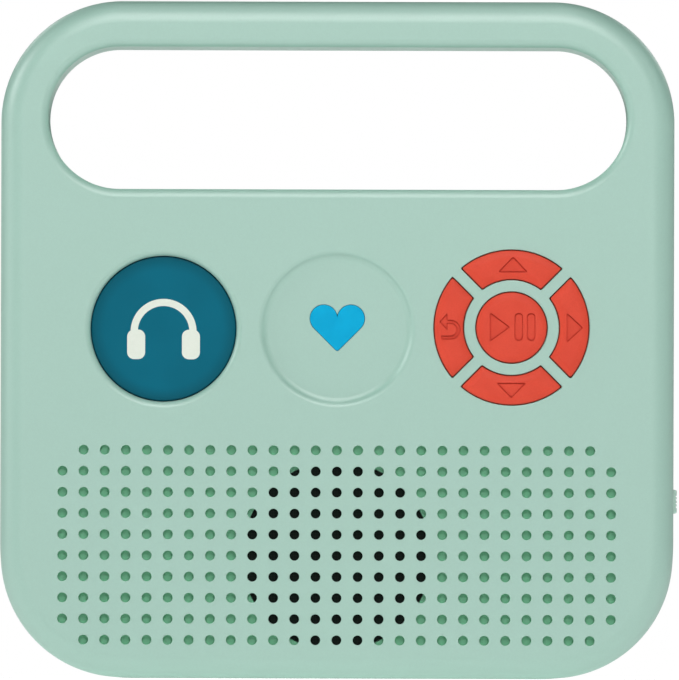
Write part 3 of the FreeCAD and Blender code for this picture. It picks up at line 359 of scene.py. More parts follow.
def dress(ob, angle=34.0):
    """Smooth shading with creases at sharp edges. Flat faces square to an axis keep their own normal right up to the rounded edges beside them."""
    me = ob.data
    bm = bmesh.new()
    bm.from_mesh(me)
    bmesh.ops.remove_doubles(bm, verts=bm.verts, dist=2e-7)
    bmesh.ops.dissolve_degenerate(bm, edges=bm.edges, dist=1e-7)
    bm.to_mesh(me)
    bm.free()
    for p in me.polygons:
        p.use_smooth = True
    me.set_sharp_from_angle(angle=math.radians(angle))
    at = me.attributes.new("__mod_weightednormals_faceweight", "INT", "FACE")
    for p in me.polygons:
        n = p.normal
        at.data[p.index].value = 16384 if max(abs(n.x), abs(n.y), abs(n.z)) > 0.99999 else 0
    m = ob.modifiers.new("normals", "WEIGHTED_NORMAL")
    m.mode = "FACE_AREA_WITH_ANGLE"
    m.keep_sharp = True
    m.use_face_influence = True
    bpy.context.view_layer.update()
    new = bpy.data.meshes.new_from_object(ob.evaluated_get(bpy.context.evaluated_depsgraph_get()))
    ob.modifiers.clear()
    ob.data = new
    bpy.data.meshes.remove(me)
    new.name = ob.name
    for a in list(new.attributes):
        if a.name.startswith("__mod"):
            new.attributes.remove(a)
    return ob


def cyl_stack(x, z, r, y0, y1, n=48):
    return [(circle(x, z, r, n), y0), (circle(x, z, r, n), y1)]


def box_stack(x0, x1, y0, y1, z0, z1, r=0.0, n=6):
    pts = rrect(x0, x1, z0, z1, r, n) if r else [(x1, z0), (x1, z1), (x0, z1), (x0, z0)]
    return [(pts, y0), (pts, y1)]


# ------------------------------------------------------------------ housing halves
def blank(name, y_face, front):
    """Closed block from the parting plane to one face, outer edge rounded, parting edge chamfered."""
    loops = [(outline(REVEAL), Y_S), (outline(0.0), Y_S + front * REVEAL)]
    loops += [(outline(i), y_face - front * (R_EDGE - rise)) for i, rise in fillet_steps(R_EDGE, 18)]
    ob = loft(name, loops)
    cut = rolled(stadium, y_face, Y_S + front * REVEAL, front)
    e = REVEAL
    cut = [(stadium(2 * e), Y_S - front * e), (stadium(e), Y_S)] + cut
    cut = [(stadium(2 * e), Y_S - front * (e + 2.0))] + cut
    return boolean(ob, loft("handle_cut", cut))


def hollow(y0, y1, d=WALL):
    ob = loft("cavity", [(outline(d), y0), (outline(d), y1)])
    return boolean(ob, loft("core", [(stadium(d), y0 - 3), (stadium(d), y1 + 3)]))


def ring(d0, d1, y0, y1, around):
    """Band between two outlines, of the housing or of the handle opening."""
    f = outline if around == "outside" else stadium
    ob = loft("band", [(f(d0), y0), (f(d0), y1)])
    return boolean(ob, loft("band_in", [(f(d1), y0 - 1), (f(d1), y1 + 1)]))


front = blank("front_housing", Y_F, -1)
front = boolean(front, hollow(Y_IN, Y_S + 1.0))
LIP_T, LIP_H = 1.1, 1.8
front = boolean(front, ring(WALL - LIP_T, WALL, Y_S - 2, Y_S + LIP_H, "outside"), "UNION")
front = boolean(front, ring(WALL, WALL - LIP_T, Y_S - 2, Y_S + LIP_H, "handle"), "UNION")
posts = [cyl_stack(x, z, 3.2, Y_IN - 0.5, Y_S) for x, z in CASE_SCREWS]
posts += [cyl_stack(x, z, 2.6, Y_IN - 0.5, Y_S) for x, z in BAR_SCREWS]
posts += [cyl_stack(x, z, 2.3, Y_IN - 0.5, -12.0) for x, z in ((-15.5, 62.5), (-15.5, 93.5), (54.5, 62.3), (54.5, 93.7))]
front = boolean(front, many("posts", posts), "UNION")
front = boolean(front, many("pocket", [cyl_stack(SPK_X, SPK_Z, POCKET_R, Y_IN - POCKET_D, Y_IN + 0.6, 144), cyl_stack(FAV_X, FAV_Z, 17.95, FAV_UNDER, Y_IN + 0.6, 144)]))

def fav_hole():
    """Rim of the dish: a convex curve from the face down to its steepest place, where the button's own lip takes over beneath."""
    n, rho = 168, (FAV_R2 - FAV_R1) / math.sin(math.radians(FAV_A))
    prof = [(FAV_R1, Y_IN - 1.0), (FAV_R1, FAV_UNDER - 0.01)]
    for k in range(0, 13):
        a = math.radians(FAV_A * (1 - k / 12))
        prof.append((FAV_R2 - rho * math.sin(a), Y_F + rho * (1 - math.cos(a))))
    prof[-1] = (FAV_R2 + 0.06, Y_F - 0.003)
    prof.append((FAV_R2 + 0.06, Y_F - 1.5))
    return [(circle(FAV_X, FAV_Z, r, n), y) for r, y in prof]


cutters = [
    trumpet(lambda o: circle(DISP_X, DISP_Z, WIN_R + o, 144), RIM_WIN, Y_F, Y_IN + 0.6, 12),
    fav_hole(),
    trumpet(lambda o: circle(PAD_X, PAD_Z, PAD_RC + KEY_CLEAR + o, 96), 0.22, Y_F, Y_IN + 0.6, 4),
]
for turn in (0, 90, 180, 270):
    cutters.append(trumpet(lambda o, t=turn: turned(segment(KEY_CLEAR + o, 0.3), t, PAD_X, PAD_Z), 0.22, Y_F, Y_IN + 0.6, 4))
for j in range(GR_ROWS):
    for i in range(GR_COLS):
        if j in (0, GR_ROWS - 1) and i in (0, GR_COLS - 1):
            continue
        gx = (i - (GR_COLS - 1) / 2) * GR_PITCH
        gz = GR_Z + (j - (GR_ROWS - 1) / 2) * GR_PITCH
        cutters.append(trumpet(lambda o, a=gx, b=gz: circle(a, b, GR_R + o, 36), 0.12, Y_F, Y_F + GR_DEPTH, 3))
front = boolean(front, many("front_cuts", cutters))
front = dress(front)

rear = blank("rear_housing", Y_R, 1)
rear = boolean(rear, hollow(Y_S - 1.0, Y_BK))
adds = [cyl_stack(x, z, 4.3, Y_S, Y_BK + 0.4) for x, z in CASE_SCREWS]
adds += [cyl_stack(x, z, 3.2, Y_S, Y_BK + 0.4) for x, z in BAR_SCREWS]
adds += [cyl_stack(x, z, 2.3, 6.6, Y_BK + 0.4) for x, z in ((39.8, 25.8), (52.0, 25.8), (39.8, 64.2), (67.0, 64.2))]
rear = boolean(rear, many("bosses", adds), "UNION")
rear = boolean(rear, many("tub", [box_stack(-33, 33, 7.0, Y_BK + 0.4, 10, 52, 2.0)]), "UNION")
rear = boolean(rear, many("pad", [box_stack(COV[0] - 2, COV[1] + 2, 17.0, Y_BK + 0.4, COV[2] - 2, COV[3] + 2, 3.0)]), "UNION")
rear = boolean(rear, many("cover_boss", [cyl_stack(0, 56, 3.4, 9.0, Y_BK + 0.4)]), "UNION")
rear = boolean(rear, ring(WALL - LIP_T - 0.1, WALL + 0.1, Y_S - 1, Y_S + LIP_H + 0.2, "outside"))
rear = boolean(rear, ring(WALL + 0.1, WALL - LIP_T - 0.1, Y_S - 1, Y_S + LIP_H + 0.2, "handle"))
rear = boolean(rear, many("through", [cyl_stack(x, z, 1.45, Y_S - 1, 9.0) for x, z in CASE_SCREWS] + [cyl_stack(x, z, 1.15, Y_S - 1, 9.0) for x, z in BAR_SCREWS]))
sunk = [trumpet(lambda o, a=x, b=z: circle(a, b, 2.9 + o, 64), 0.35, Y_R, 8.0, 4, 1) for x, z in CASE_SCREWS]
sunk += [trumpet(lambda o, a=x, b=z: circle(a, b, 2.1 + o, 64), 0.3, Y_R, 8.0, 4, 1) for x, z in BAR_SCREWS]
sunk += [trumpet(lambda o: rrect(COV[0] - 0.2 - o, COV[1] + 0.2 + o, COV[2] - 0.2 - o, COV[3] + 0.2 + o, 3.2 + o, 16), 0.3, Y_R, 19.1, 4, 1)]
rear = boolean(rear, many("sunk", sunk))
rear = boolean(rear, many("tub_in", [box_stack(-31.4, 31.4, 8.6, 20.0, 11.6, 50.4, 1.2)]))
rear = boolean(rear, many("tabs", [box_stack(x - 4.2, x + 4.2, 18.9, 20.2, COV[2] - 2.0, COV[2] + 0.5) for x in (-20.0, 20.0)]))
rear = boolean(rear, many("cover_hole", [cyl_stack(0, 56, 0.95, 10.0, 19.5, 24)]))
rear = boolean(rear, many("lead_way", [box_stack(31.0, 34.0, 12.0, 16.0, 30.0, 34.5)]))
# the way in for the plugs and the slot of the slider, through the right-hand wall
jack_cut = [(circle(JACK_Y, JACK_Z, 2.86 + 0.1267 * (x - 70.0), 64), x) for x in (70.5, 74.3)]
jack_cut += [(circle(JACK_Y, JACK_Z, 3.40 + o, 64), x) for o, x in ((0.05, 74.42), (0.3, 74.72), (1.0, 75.6))]
rear = boolean(rear, loft("jack_cut", jack_cut, "x"))


def slot_x(hy, hz, y, z, r, n=10):
    return rrect(y - hy, y + hy, z - hz, z + hz, r, n)


usb_cut = [(slot_x(1.9, 4.75, USB_Y, USB_Z, 1.86), x) for x in (68.0, 74.2)]
rear = boolean(rear, loft("usb_cut", usb_cut, "x"))
usb_rec = [(slot_x(3.3, 6.2, USB_Y, USB_Z, 3.23, 16), 73.8), (slot_x(3.3, 6.2, USB_Y, USB_Z, 3.23, 16), 74.7)]
usb_rec += [(slot_x(3.3 + o, 6.2 + o, USB_Y, USB_Z, 3.23 + o, 16), x) for o, x in ((0.04, 74.82), (0.13, 74.94), (0.25, 75.02), (0.3, 76.0))]
rear = boolean(rear, loft("usb_rec", usb_rec, "x"))
z0, z1 = SLIDE_Z - 3.0 - 2.7, SLIDE_Z + 2.7
slot_cut = [(rrect(SLIDE_Y - 1.5 - o, SLIDE_Y + 1.5 + o, z0 - o, z1 + o, 0.25 + o, 5), x) for o, x in ((0, 70.0), (0, 74.8), (0.05, 74.92), (0.2, 75.02), (0.2, 76.0))]
rear = boolean(rear, loft("slot_cut", slot_cut, "x"))
rear = dress(rear)

# battery cover
cov = [(rrect(COV[0], COV[1], COV[2], COV[3], 3.0, 16), 19.2)]
cov += [(rrect(COV[0] + i, COV[1] - i, COV[2] + i, COV[3] - i, 3.0 - i, 16), Y_R - 0.4 + rise) for i, rise in fillet_steps(0.4, 6)]
cover = loft("battery_door", cov)
cover = boolean(cover, many("tab", [box_stack(x - 3.9, x + 3.9, 19.2, 20.0, COV[2] - 1.7, COV[2] + 1.0, 0.5) for x in (-20.0, 20.0)]), "UNION")
cover = boolean(cover, many("door_screw_hole", [cyl_stack(0, 56, 1.4, 18.0, 20.5, 32)]))
door_cuts = [trumpet(lambda o: circle(0, 56, 2.6 + o, 56), 0.3, Y_R, 19.8, 4, 1)]
for k in range(4):
    zc = 12.5 + 2.6 * k
    door_cuts.append(trumpet(lambda o, c=zc: rrect(-9 - o, 9 + o, c - 0.5 - o, c + 0.5 + o, 0.45 + o, 8), 0.12, Y_R, 20.4, 3, 1))
cover = boolean(cover, many("door_cuts", door_cuts))
cover = dress(cover)

# ------------------------------------------------------------------ round display window and its printed sign
N = 160
win = [(circle(DISP_X, DISP_Z, 19.0, N), -17.6), (circle(DISP_X, DISP_Z, 19.0, N), -18.38), (circle(DISP_X, DISP_Z, 16.05, N), -18.38)]
win += [(circle(DISP_X, DISP_Z, 16.05 - i, N), -19.25 - rise) for i, rise in fillet_steps(0.3, 6)]
window = dress(loft("round_window", win))

# generic sign: a pair of headphones
SX, SZ = DISP_X, DISP_Z + 0.2
band = arc(SX, SZ - 0.9, 7.35, -12, 192, 64) + arc(SX, SZ - 0.9, 5.75, 192, -12, 56)
Y_W = -19.55
sign = loft("sign_headphones", [(band, Y_W + 0.1), (band, Y_W - 0.03)])
for s in (-1, 1):
    cup = rounded([(SX + s * 6.1 - 2.0, SZ - 7.0), (SX + s * 6.1 + 2.0, SZ - 7.0), (SX + s * 6.1 + 2.0, SZ - 0.4), (SX + s * 6.1 - 2.0, SZ - 0.4)], 1.55, 10)
    sign = boolean(sign, loft("cup", [(cup, Y_W + 0.1), (cup, Y_W - 0.03)]), "UNION")
sign = dress(sign)

# ------------------------------------------------------------------ favourite button and its heart
fav = [(circle(FAV_X, FAV_Z, FAV_R, N), -17.4), (circle(FAV_X, FAV_Z, FAV_R, N), FAV_LIP), (circle(FAV_X, FAV_Z, FAV_R1 + 0.06, N), FAV_LIP)]
rho = (FAV_R1 - FAV_R0) / math.sin(math.radians(FAV_A))
for k in range(0, 11):
    a = math.radians(FAV_A * (1 - k / 10))
    fav.append((circle(FAV_X, FAV_Z, FAV_R0 + rho * math.sin(a), N), FAV_FLOOR - rho * (1 - math.cos(a))))
favourite = loft("favourite_cap", fav)
favourite = boolean(favourite, many("stems", [cyl_stack(s * 9.5, FAV_Z, 2.0, -17.6, -16.6) for s in (-1, 1)]), "UNION")
rim = [(heart(0.08), -16.0), (heart(0.08), FAV_FLOOR + 0.06), (heart(0.1), FAV_FLOOR + 0.02), (heart(0.16), FAV_FLOOR - 0.02), (heart(0.16), -21.5)]
favourite = boolean(favourite, loft("heart_cut", rim))
favourite = dress(favourite)

hp = [(heart(-0.0001), -17.55), (heart(-0.0001), FAV_FLOOR + 0.04)]
hp += [(heart(-max(i, 0.0001)), FAV_FLOOR + 0.04 - rise) for i, rise in fillet_steps(0.16, 5)[1:]]
heart_piece = loft("heart", hp)
heart_piece = boolean(heart_piece, many("heart_stem", [cyl_stack(0, HEART_Z - 1.75, 2.2, -17.8, -15.2, 40)]), "UNION")
heart_piece = dress(heart_piece, 40)


# ------------------------------------------------------------------ keys of the pad: crowned silicone caps with sunk signs
def key_loops(shape):
    """Wall, rounded edge, pillow, flat middle."""
    steep = math.radians(27)
    f, w = 0.3, 1.75
    drop = math.tan(steep) * w / 2
    t0, rise = f * (1 - math.cos(math.pi / 2 - steep)), f * math.sin(math.pi / 2 - steep)
    y_top = Y_K + drop
    loops = [(shape(0.75), -17.55), (shape(0.75), -18.35), (shape(0.0), -18.35), (shape(0.0), y_top + rise)]
    for k in range(1, 6):
        a = (math.pi / 2 - steep) * k / 5
        loops.append((shape(-f * (1 - math.cos(a))), y_top + rise - f * math.sin(a)))
    for k in range(1, 11):
        q = k / 10
        loops.append((shape(-t0 - w * q), Y_K + drop * (1 - q) ** 2))
    return loops


ICON_Y = Y_K + 0.38


def icon_cut(polys):
    """Cutter of a sunk sign: polys is a list of (outer outline, outline of the raised middle), the narrow band between them lies deeper."""
    stacks = []
    for p, q in polys:
        f, n = 0.05, 2
        s = fillet_steps(f, n)
        lo = [(q, ICON_Y), (q, ICON_Y + 0.32), (p, ICON_Y + 0.32)]
        for o, rise in s:
            lo.append((grown(p, o), Y_K + f - rise))
        (o0, r0), (o1, r1) = s[-2], s[-1]
        lo[-1] = (grown(p, o1 + 0.5 * (o1 - o0)), Y_K - 0.5 * (r1 - r0))
        lo.append((grown(p, o1 + 0.5 * (o1 - o0)), Y_K - 0.8))
        stacks.append(lo)
    return many("icon", stacks)


def sign_pair(pts, r, n=6):
    return rounded(pts, r, n), rounded(grown(pts, -0.23), 0.5 * r, n)


def at_pad(pts):
    return [(PAD_X + a, PAD_Z + b) for a, b in pts]


up = sign_pair(at_pad([(-3.1, 12.3), (3.7, 12.3), (0.3, 15.8)]), 0.22)
down = sign_pair(at_pad([(-3.4, -12.3), (0.0, -15.75), (3.4, -12.3)]), 0.22)
nxt = sign_pair(at_pad([(12.3, -3.4), (15.95, 0.0), (12.3, 3.4)]), 0.22)
bx, bz = -13.65, -0.15
back = [(-2.45, 1.4), (-0.6, -0.55), (-0.6, 0.95)]
back += arc(0.1, -0.35, 1.3, 90, -90, 16) + [(-2.0, -1.65), (-2.0, -2.55)]
back += arc(0.1, -0.35, 2.2, -90, 90, 24) + [(-0.6, 1.85), (-0.6, 3.35)]
back = sign_pair(at_pad([(bx + a, bz + b) for a, b in back]), 0.12, 4)
play = sign_pair(at_pad([(-4.8, -3.2), (-0.3, 0.1), (-4.8, 3.4)]), 0.22)
bars = [(stadium_z(PAD_X + x, PAD_Z + 0.15, 3.1, 0.95), stadium_z(PAD_X + x, PAD_Z + 0.15, 2.87, 0.72)) for x in (1.62, 4.37)]

keys = {}
for name, turn, icon in (("up", 0, [up]), ("back", 90, [back]), ("down", 180, [down]), ("next", 270, [nxt])):
    ob = loft(name + "_cap", key_loops(lambda o, t=turn: turned(segment(o, 0.35), t, PAD_X, PAD_Z)))
    a = math.radians(90 + turn)
    stem = many("stem", [cyl_stack(PAD_X + 14 * math.cos(a), PAD_Z + 14 * math.sin(a), 1.9, -17.65, -16.6)])
    ob = boolean(ob, stem, "UNION")
    keys[name] = dress(boolean(ob, icon_cut(icon)), 30)
ob = loft("play_pause_cap", key_loops(lambda o: circle(PAD_X, PAD_Z, PAD_RC + o, 128)))
ob = boolean(ob, many("stem", [cyl_stack(PAD_X, PAD_Z, 1.9, -17.65, -16.6)]), "UNION")
keys["play_pause"] = dress(boolean(ob, icon_cut([play] + bars)), 30)

# ------------------------------------------------------------------ slider at the side
knob = [(rrect(SLIDE_Y - 2.6, SLIDE_Y + 2.6, SLIDE_Z - 5.9, SLIDE_Z + 5.9, 0.6), 71.45), (rrect(SLIDE_Y - 2.6, SLIDE_Y + 2.6, SLIDE_Z - 5.9, SLIDE_Z + 5.9, 0.6), 72.35)]
knob += [(rrect(SLIDE_Y - 1.3, SLIDE_Y + 1.3, SLIDE_Z - 2.3, SLIDE_Z + 2.3, 0.3), x) for x in (72.35, 75.07)]
knob += [(rrect(SLIDE_Y - hy, SLIDE_Y + hy, SLIDE_Z - hz, SLIDE_Z + hz, r), x) for hy, hz, r, x in (
    (1.88, 2.6, 0.3, 75.07), (1.97, 2.68, 0.33, 75.1), (2.0, 2.7, 0.35, 75.16), (1.72, 2.6, 0.32, 75.7),
    (1.67, 2.57, 0.3, 75.8), (1.6, 2.52, 0.28, 75.87), (1.5, 2.42, 0.25, 75.92), (1.36, 2.28, 0.2, 75.95))]
slider = loft("slide_knob", knob, "x")
grooves = []
for d in (-1.2, -0.4, 0.4, 1.2):
    grooves.append([(rrect(SLIDE_Y - 2.3, SLIDE_Y + 2.3, SLIDE_Z + d - hw, SLIDE_Z + d + hw, 0.02, 2), x) for hw, x in ((0.05, 75.72), (0.11, 75.76), (0.15, 75.84), (0.22, 76.2))])
slider = boolean(slider, many("grooves", grooves, "x"))
slider = dress(slider, 40)


# ------------------------------------------------------------------ materials
class Mat:
    """A small builder for procedural materials on one Principled shader, in object space."""

    def __init__(self, name):
        self.m = bpy.data.materials.new(name)
        self.m.use_nodes = True
        self.t = self.m.node_tree
        self.p = self.t.nodes["Principled BSDF"]
        self.coord = self.t.nodes.new("ShaderNodeTexCoord").outputs["Object"]

    def node(self, kind, inputs=None, **props):
        n = self.t.nodes.new(kind)
        for k, v in props.items():
            setattr(n, k, v)
        for k, v in (inputs or {}).items():
            self.feed(n.inputs[k], v)
        return n

    def feed(self, socket, v):
        if isinstance(v, bpy.types.NodeSocket):
            self.t.links.new(v, socket)
        elif isinstance(v, (tuple, list)) and len(v) == 3 and socket.type == "RGBA":
            socket.default_value = (*v, 1.0)
        else:
            socket.default_value = v

    def scaled(self, sx, sy, sz, rot=(0, 0, 0)):
        n = self.node("ShaderNodeMapping", {"Vector": self.coord})
        n.inputs["Scale"].default_value = (sx, sy, sz)
        n.inputs["Rotation"].default_value = rot
        return n.outputs["Vector"]

    def noise(self, scale, detail=2.0, rough=0.5, vec=None, distortion=0.0):
        n = self.node("ShaderNodeTexNoise", {"Vector": vec or self.coord, "Scale": scale, "Detail": detail, "Roughness": rough, "Distortion": distortion})
        return n.outputs["Fac"]

    def voronoi(self, scale, vec=None, feature="F1", out="Distance", rand=1.0):
        n = self.node("ShaderNodeTexVoronoi", {"Vector": vec or self.coord, "Scale": scale, "Randomness": rand}, feature=feature)
        return n.outputs[out]

    def wave(self, scale, vec=None, direction="X", distortion=0.0, detail=0.0):
        n = self.node("ShaderNodeTexWave", {"Vector": vec or self.coord, "Scale": scale, "Distortion": distortion, "Detail": detail}, bands_direction=direction)
        return n.outputs["Fac"]

    def math(self, op, a, b=0.0, clamp=False):
        n = self.t.nodes.new("ShaderNodeMath")
        n.operation = op
        n.use_clamp = clamp
        self.feed(n.inputs[0], a)
        self.feed(n.inputs[1], b)
        return n.outputs[0]

    def span(self, v, lo, hi):
        """0..1 to lo..hi."""
        return self.math("ADD", self.math("MULTIPLY", v, hi - lo), lo)

    def step(self, v, a, b):
        """Smooth ramp of v from 0 at a to 1 at b."""
        n = self.node("ShaderNodeMapRange", {"Value": v, "From Min": a, "From Max": b}, interpolation_type="SMOOTHSTEP")
        return n.outputs["Result"]

    def mix(self, f, a, b):
        n = self.t.nodes.new("ShaderNodeMix")
        n.data_type = "RGBA"
        self.feed(n.inputs["Factor"], f)
        self.feed(n.inputs["A"], a)
        self.feed(n.inputs["B"], b)
        return n.outputs["Result"]

    def bump(self, height, strength, mm, normal=None):
        n = self.node("ShaderNodeBump", {"Height": height, "Strength": strength, "Distance": mm * MM})
        if normal:
            self.feed(n.inputs["Normal"], normal)
        return n.outputs["Normal"]

    def set(self, **kw):
        for k, v in kw.items():
            self.feed(self.p.inputs[k.replace("_", " ")], v)
        return self.m


def tint(c, k):
    return tuple(max(0.0, min(1.0, x * k)) for x in c)


def satin(name, base, rough=0.45, grain=1.0, spec=0.80, ior=1.75, holes=False):
    """Moulded plastic with a fine sparked texture; with holes, painted shade: a deeper, more saturated green down in
    the blind grille holes stands in for their shade and bounced light.
    """
    m = Mat(name)
    cloud = m.noise(22.0, 2.0)
    fine = m.noise(2600.0, 2.0, 0.6)
    speck = m.noise(6200.0, 1.0, 0.5)
    c = m.mix(m.step(cloud, 0.3, 0.7), tint(base, 0.985), tint(base, 1.015))
    c = m.mix(m.step(speck, 0.25, 0.75), tint(base, 0.955), c)
    c2 = m.mix(0.55, c, m.mix(m.step(fine, 0.3, 0.7), tint(base, 0.975), tint(base, 1.03)))
    if holes:
        sep = m.node("ShaderNodeSeparateXYZ", {"Vector": m.coord})
        down = m.step(sep.outputs["Y"], (Y_F + 0.15) * MM, (Y_F + 0.9) * MM)
        behind = m.step(sep.outputs["Y"], -18.9 * MM, -18.8 * MM)
        far = m.math("ABSOLUTE", sep.outputs["X"])
        rows = m.math("MULTIPLY", m.step(sep.outputs["Z"], 53.0 * MM, 52.6 * MM), m.step(sep.outputs["Z"], 6.6 * MM, 7.0 * MM))
        ends = m.math("MULTIPLY", m.step(sep.outputs["Z"], 48.6 * MM, 48.4 * MM), m.step(sep.outputs["Z"], 10.7 * MM, 10.9 * MM))
        wide = m.math("MULTIPLY", m.step(far, 63.4 * MM, 63.2 * MM), ends)
        side = m.math("MAXIMUM", m.step(far, 58.6 * MM, 58.4 * MM), wide)
        hole_shade = m.math("MULTIPLY", m.math("MULTIPLY", down, m.math("SUBTRACT", 1.0, behind)), rows)
        hole_shade = m.math("MULTIPLY", hole_shade, side)
        # painted shade: down inside the blind grille holes the colour turns a deeper, more saturated green, standing in
        # for shade and bounced light in the recess
        c2 = m.mix(hole_shade, c2, (0.140, 0.575, 0.325))
    r = m.math("ADD", m.span(fine, rough - 0.05, rough + 0.05), m.span(m.noise(60.0, 3.0), -0.02, 0.02))
    peel = m.bump(m.noise(420.0, 2.0), 0.10 * grain, 0.05)
    n = m.bump(m.math("ADD", fine, m.math("MULTIPLY", speck, 0.5)), 0.22 * grain, 0.035, peel)
    m.set(Base_Color=c2, Roughness=r, Normal=n)
    m.p.inputs["IOR"].default_value = ior
    m.p.inputs["Specular IOR Level"].default_value = spec
    return m.m


GREEN = (0.335, 0.556, 0.466)
mats = {}
mats["shell"] = satin("sage_plastic", GREEN, holes=True)
mats["button"] = satin("sage_button", tint(GREEN, 1.0))
mats["slider"] = satin("slider_plastic", (0.47, 0.68, 0.58), 0.45, 0.6)

# display window: back-printed petrol lens, with painted shade making it darker towards its edge, where the rim shadows
# it
m = Mat("petrol_lens")
sep = m.node("ShaderNodeSeparateXYZ", {"Vector": m.coord})
dx = m.math("SUBTRACT", sep.outputs["X"], DISP_X * MM)
dz = m.math("SUBTRACT", sep.outputs["Z"], DISP_Z * MM)
rad = m.math("SQRT", m.math("ADD", m.math("MULTIPLY", dx, dx), m.math("MULTIPLY", dz, dz)))
# painted shade: radial mask darkening the lens colour from 12.8 mm out to its 16.2 mm edge
edge = m.step(rad, 0.0128, 0.0162)
body = m.mix(m.step(m.noise(70.0, 2.0), 0.3, 0.7), (0.0002, 0.129, 0.196), (0.0003, 0.140, 0.213))
body = m.mix(edge, body, (0.0002, 0.100, 0.147))
m.set(Base_Color=body, Roughness=m.span(m.noise(900.0, 2.0), 0.30, 0.38), Normal=m.bump(m.noise(2200.0, 2.0), 0.05, 0.02))
m.p.inputs["Specular IOR Level"].default_value = 0.12
mats["window"] = m.m

m = Mat("cream_print")
c = m.mix(m.noise(1500.0, 2.0), (0.74, 0.80, 0.70), (0.80, 0.85, 0.76))
m.set(Base_Color=c, Roughness=m.span(m.noise(900.0), 0.45, 0.55), Normal=m.bump(m.noise(3000.0), 0.08, 0.01))
mats["print"] = m.m

# heart: bright translucent blue
m = Mat("heart_blue")
c = m.mix(m.step(m.noise(260.0, 2.0), 0.3, 0.7), (0.0005, 0.385, 0.665), (0.0012, 0.425, 0.715))
m.set(Base_Color=c, Roughness=m.span(m.noise(1200.0, 2.0), 0.30, 0.40), Normal=m.bump(m.noise(1800.0), 0.06, 0.02))
m.p.inputs["Specular IOR Level"].default_value = 0.12
m.p.inputs["Subsurface Weight"].default_value = 0.08
m.p.inputs["Subsurface Radius"].default_value = (0.2, 0.6, 1.0)
m.p.inputs["Subsurface Scale"].default_value = 0.0006
mats["heart"] = m.m

# keys: coral silicone
m = Mat("coral_silicone")
cloud = m.noise(150.0, 3.0)
fine = m.noise(3600.0, 2.0)
c = m.mix(m.step(cloud, 0.3, 0.7), (0.712, 0.058, 0.0245), (0.760, 0.067, 0.030))
c = m.mix(m.math("MULTIPLY", m.step(fine, 0.35, 0.75), 0.35), c, (0.64, 0.050, 0.0215))
m.set(Base_Color=c, Roughness=m.span(fine, 0.50, 0.62), Normal=m.bump(fine, 0.16, 0.03))
m.p.inputs["Specular IOR Level"].default_value = 0.35
m.p.inputs["Subsurface Weight"].default_value = 0.12
m.p.inputs["Subsurface Radius"].default_value = (1.0, 0.25, 0.15)
m.p.inputs["Subsurface Scale"].default_value = 0.0006
m.p.inputs["Sheen Weight"].default_value = 0.04
m.p.inputs["Sheen Roughness"].default_value = 0.4
mats["keys"] = m.m

# acoustic cloth behind the grille: fine plain weave, nearly black
m = Mat("acoustic_cloth")
wx = m.wave(900.0, m.scaled(1, 1, 1), "X")
wz = m.wave(900.0, m.scaled(1, 1, 1), "Z")
weave = m.math("MULTIPLY", wx, wz)
c = m.mix(weave, (0.004, 0.006, 0.005), (0.022, 0.027, 0.024))
m.set(Base_Color=c, Roughness=m.span(m.noise(4000.0), 0.8, 0.95), Normal=m.bump(weave, 0.5, 0.08))
m.p.inputs["Specular IOR Level"].default_value = 0.2
mats["cloth"] = m.m


def metal(name, base, rough, grain=900.0):
    m = Mat(name)
    streak = m.noise(grain, 3.0, 0.6, m.scaled(1.0, 0.15, 1.0))
    blot = m.noise(300.0, 4.0)
    c = m.mix(m.step(blot, 0.3, 0.75), base, tint(base, 0.82))
    m.set(Base_Color=c, Roughness=m.span(streak, rough - 0.08, rough + 0.1), Normal=m.bump(streak, 0.12, 0.02))
    m.p.inputs["Metallic"].default_value = 1.0
    return m.m


mats["steel"] = metal("zinc_steel", (0.62, 0.63, 0.65), 0.34)
mats["switch_metal"] = metal("nickel_plate", (0.68, 0.67, 0.64), 0.28, 1500.0)


def moulded(name, a, b, rough, scale=1800.0, depth=0.02):
    m = Mat(name)
    fine = m.noise(scale, 3.0, 0.6)
    c = m.mix(m.step(m.noise(90.0, 3.0), 0.3, 0.7), a, b)
    m.set(Base_Color=c, Roughness=m.span(fine, rough - 0.06, rough + 0.06), Normal=m.bump(fine, 0.15, depth))
    return m.m


mats["black_plastic"] = moulded("black_nylon", (0.014, 0.014, 0.015), (0.022, 0.022, 0.023), 0.48)
mats["white_plastic"] = moulded("natural_nylon", (0.72, 0.70, 0.63), (0.80, 0.78, 0.71), 0.45)
mats["chip"] = moulded("chip_epoxy", (0.018, 0.018, 0.02), (0.032, 0.032, 0.036), 0.62, 5200.0, 0.03)
mats["led"] = moulded("led_resin", (0.86, 0.82, 0.58), (0.93, 0.90, 0.70), 0.2)
mats["flex"] = moulded("polyimide", (0.45, 0.20, 0.03), (0.60, 0.30, 0.05), 0.3)
mats["rubber_black"] = moulded("surround_rubber", (0.012, 0.012, 0.012), (0.020, 0.020, 0.020), 0.7, 2500.0, 0.04)
mats["magnet"] = moulded("ferrite", (0.05, 0.05, 0.055), (0.10, 0.10, 0.11), 0.55, 1400.0, 0.05)

# circuit boards: solder mask over a mesh of tracks, with plated vias
m = Mat("solder_mask")
cells = m.voronoi(420.0, feature="DISTANCE_TO_EDGE", rand=0.35)
track = m.step(cells, 0.16, 0.22)
dots = m.step(m.voronoi(300.0, rand=0.9), 0.10, 0.14)
c = m.mix(track, (0.006, 0.085, 0.030), (0.004, 0.050, 0.020))
c = m.mix(m.math("SUBTRACT", 1.0, dots), c, (0.55, 0.45, 0.18))
m.set(Base_Color=c, Roughness=m.span(m.noise(700.0), 0.25, 0.4), Normal=m.bump(m.math("SUBTRACT", 1.0, track), 0.3, 0.03))
mats["board"] = m.m

# foam: fine closed cells
m = Mat("cell_foam")
cells = m.voronoi(3400.0)
c = m.mix(m.step(cells, 0.1, 0.6), (0.016, 0.016, 0.017), (0.045, 0.045, 0.047))
m.set(Base_Color=c, Roughness=m.span(cells, 0.8, 0.95), Normal=m.bump(cells, 0.6, 0.08))
mats["foam"] = m.m

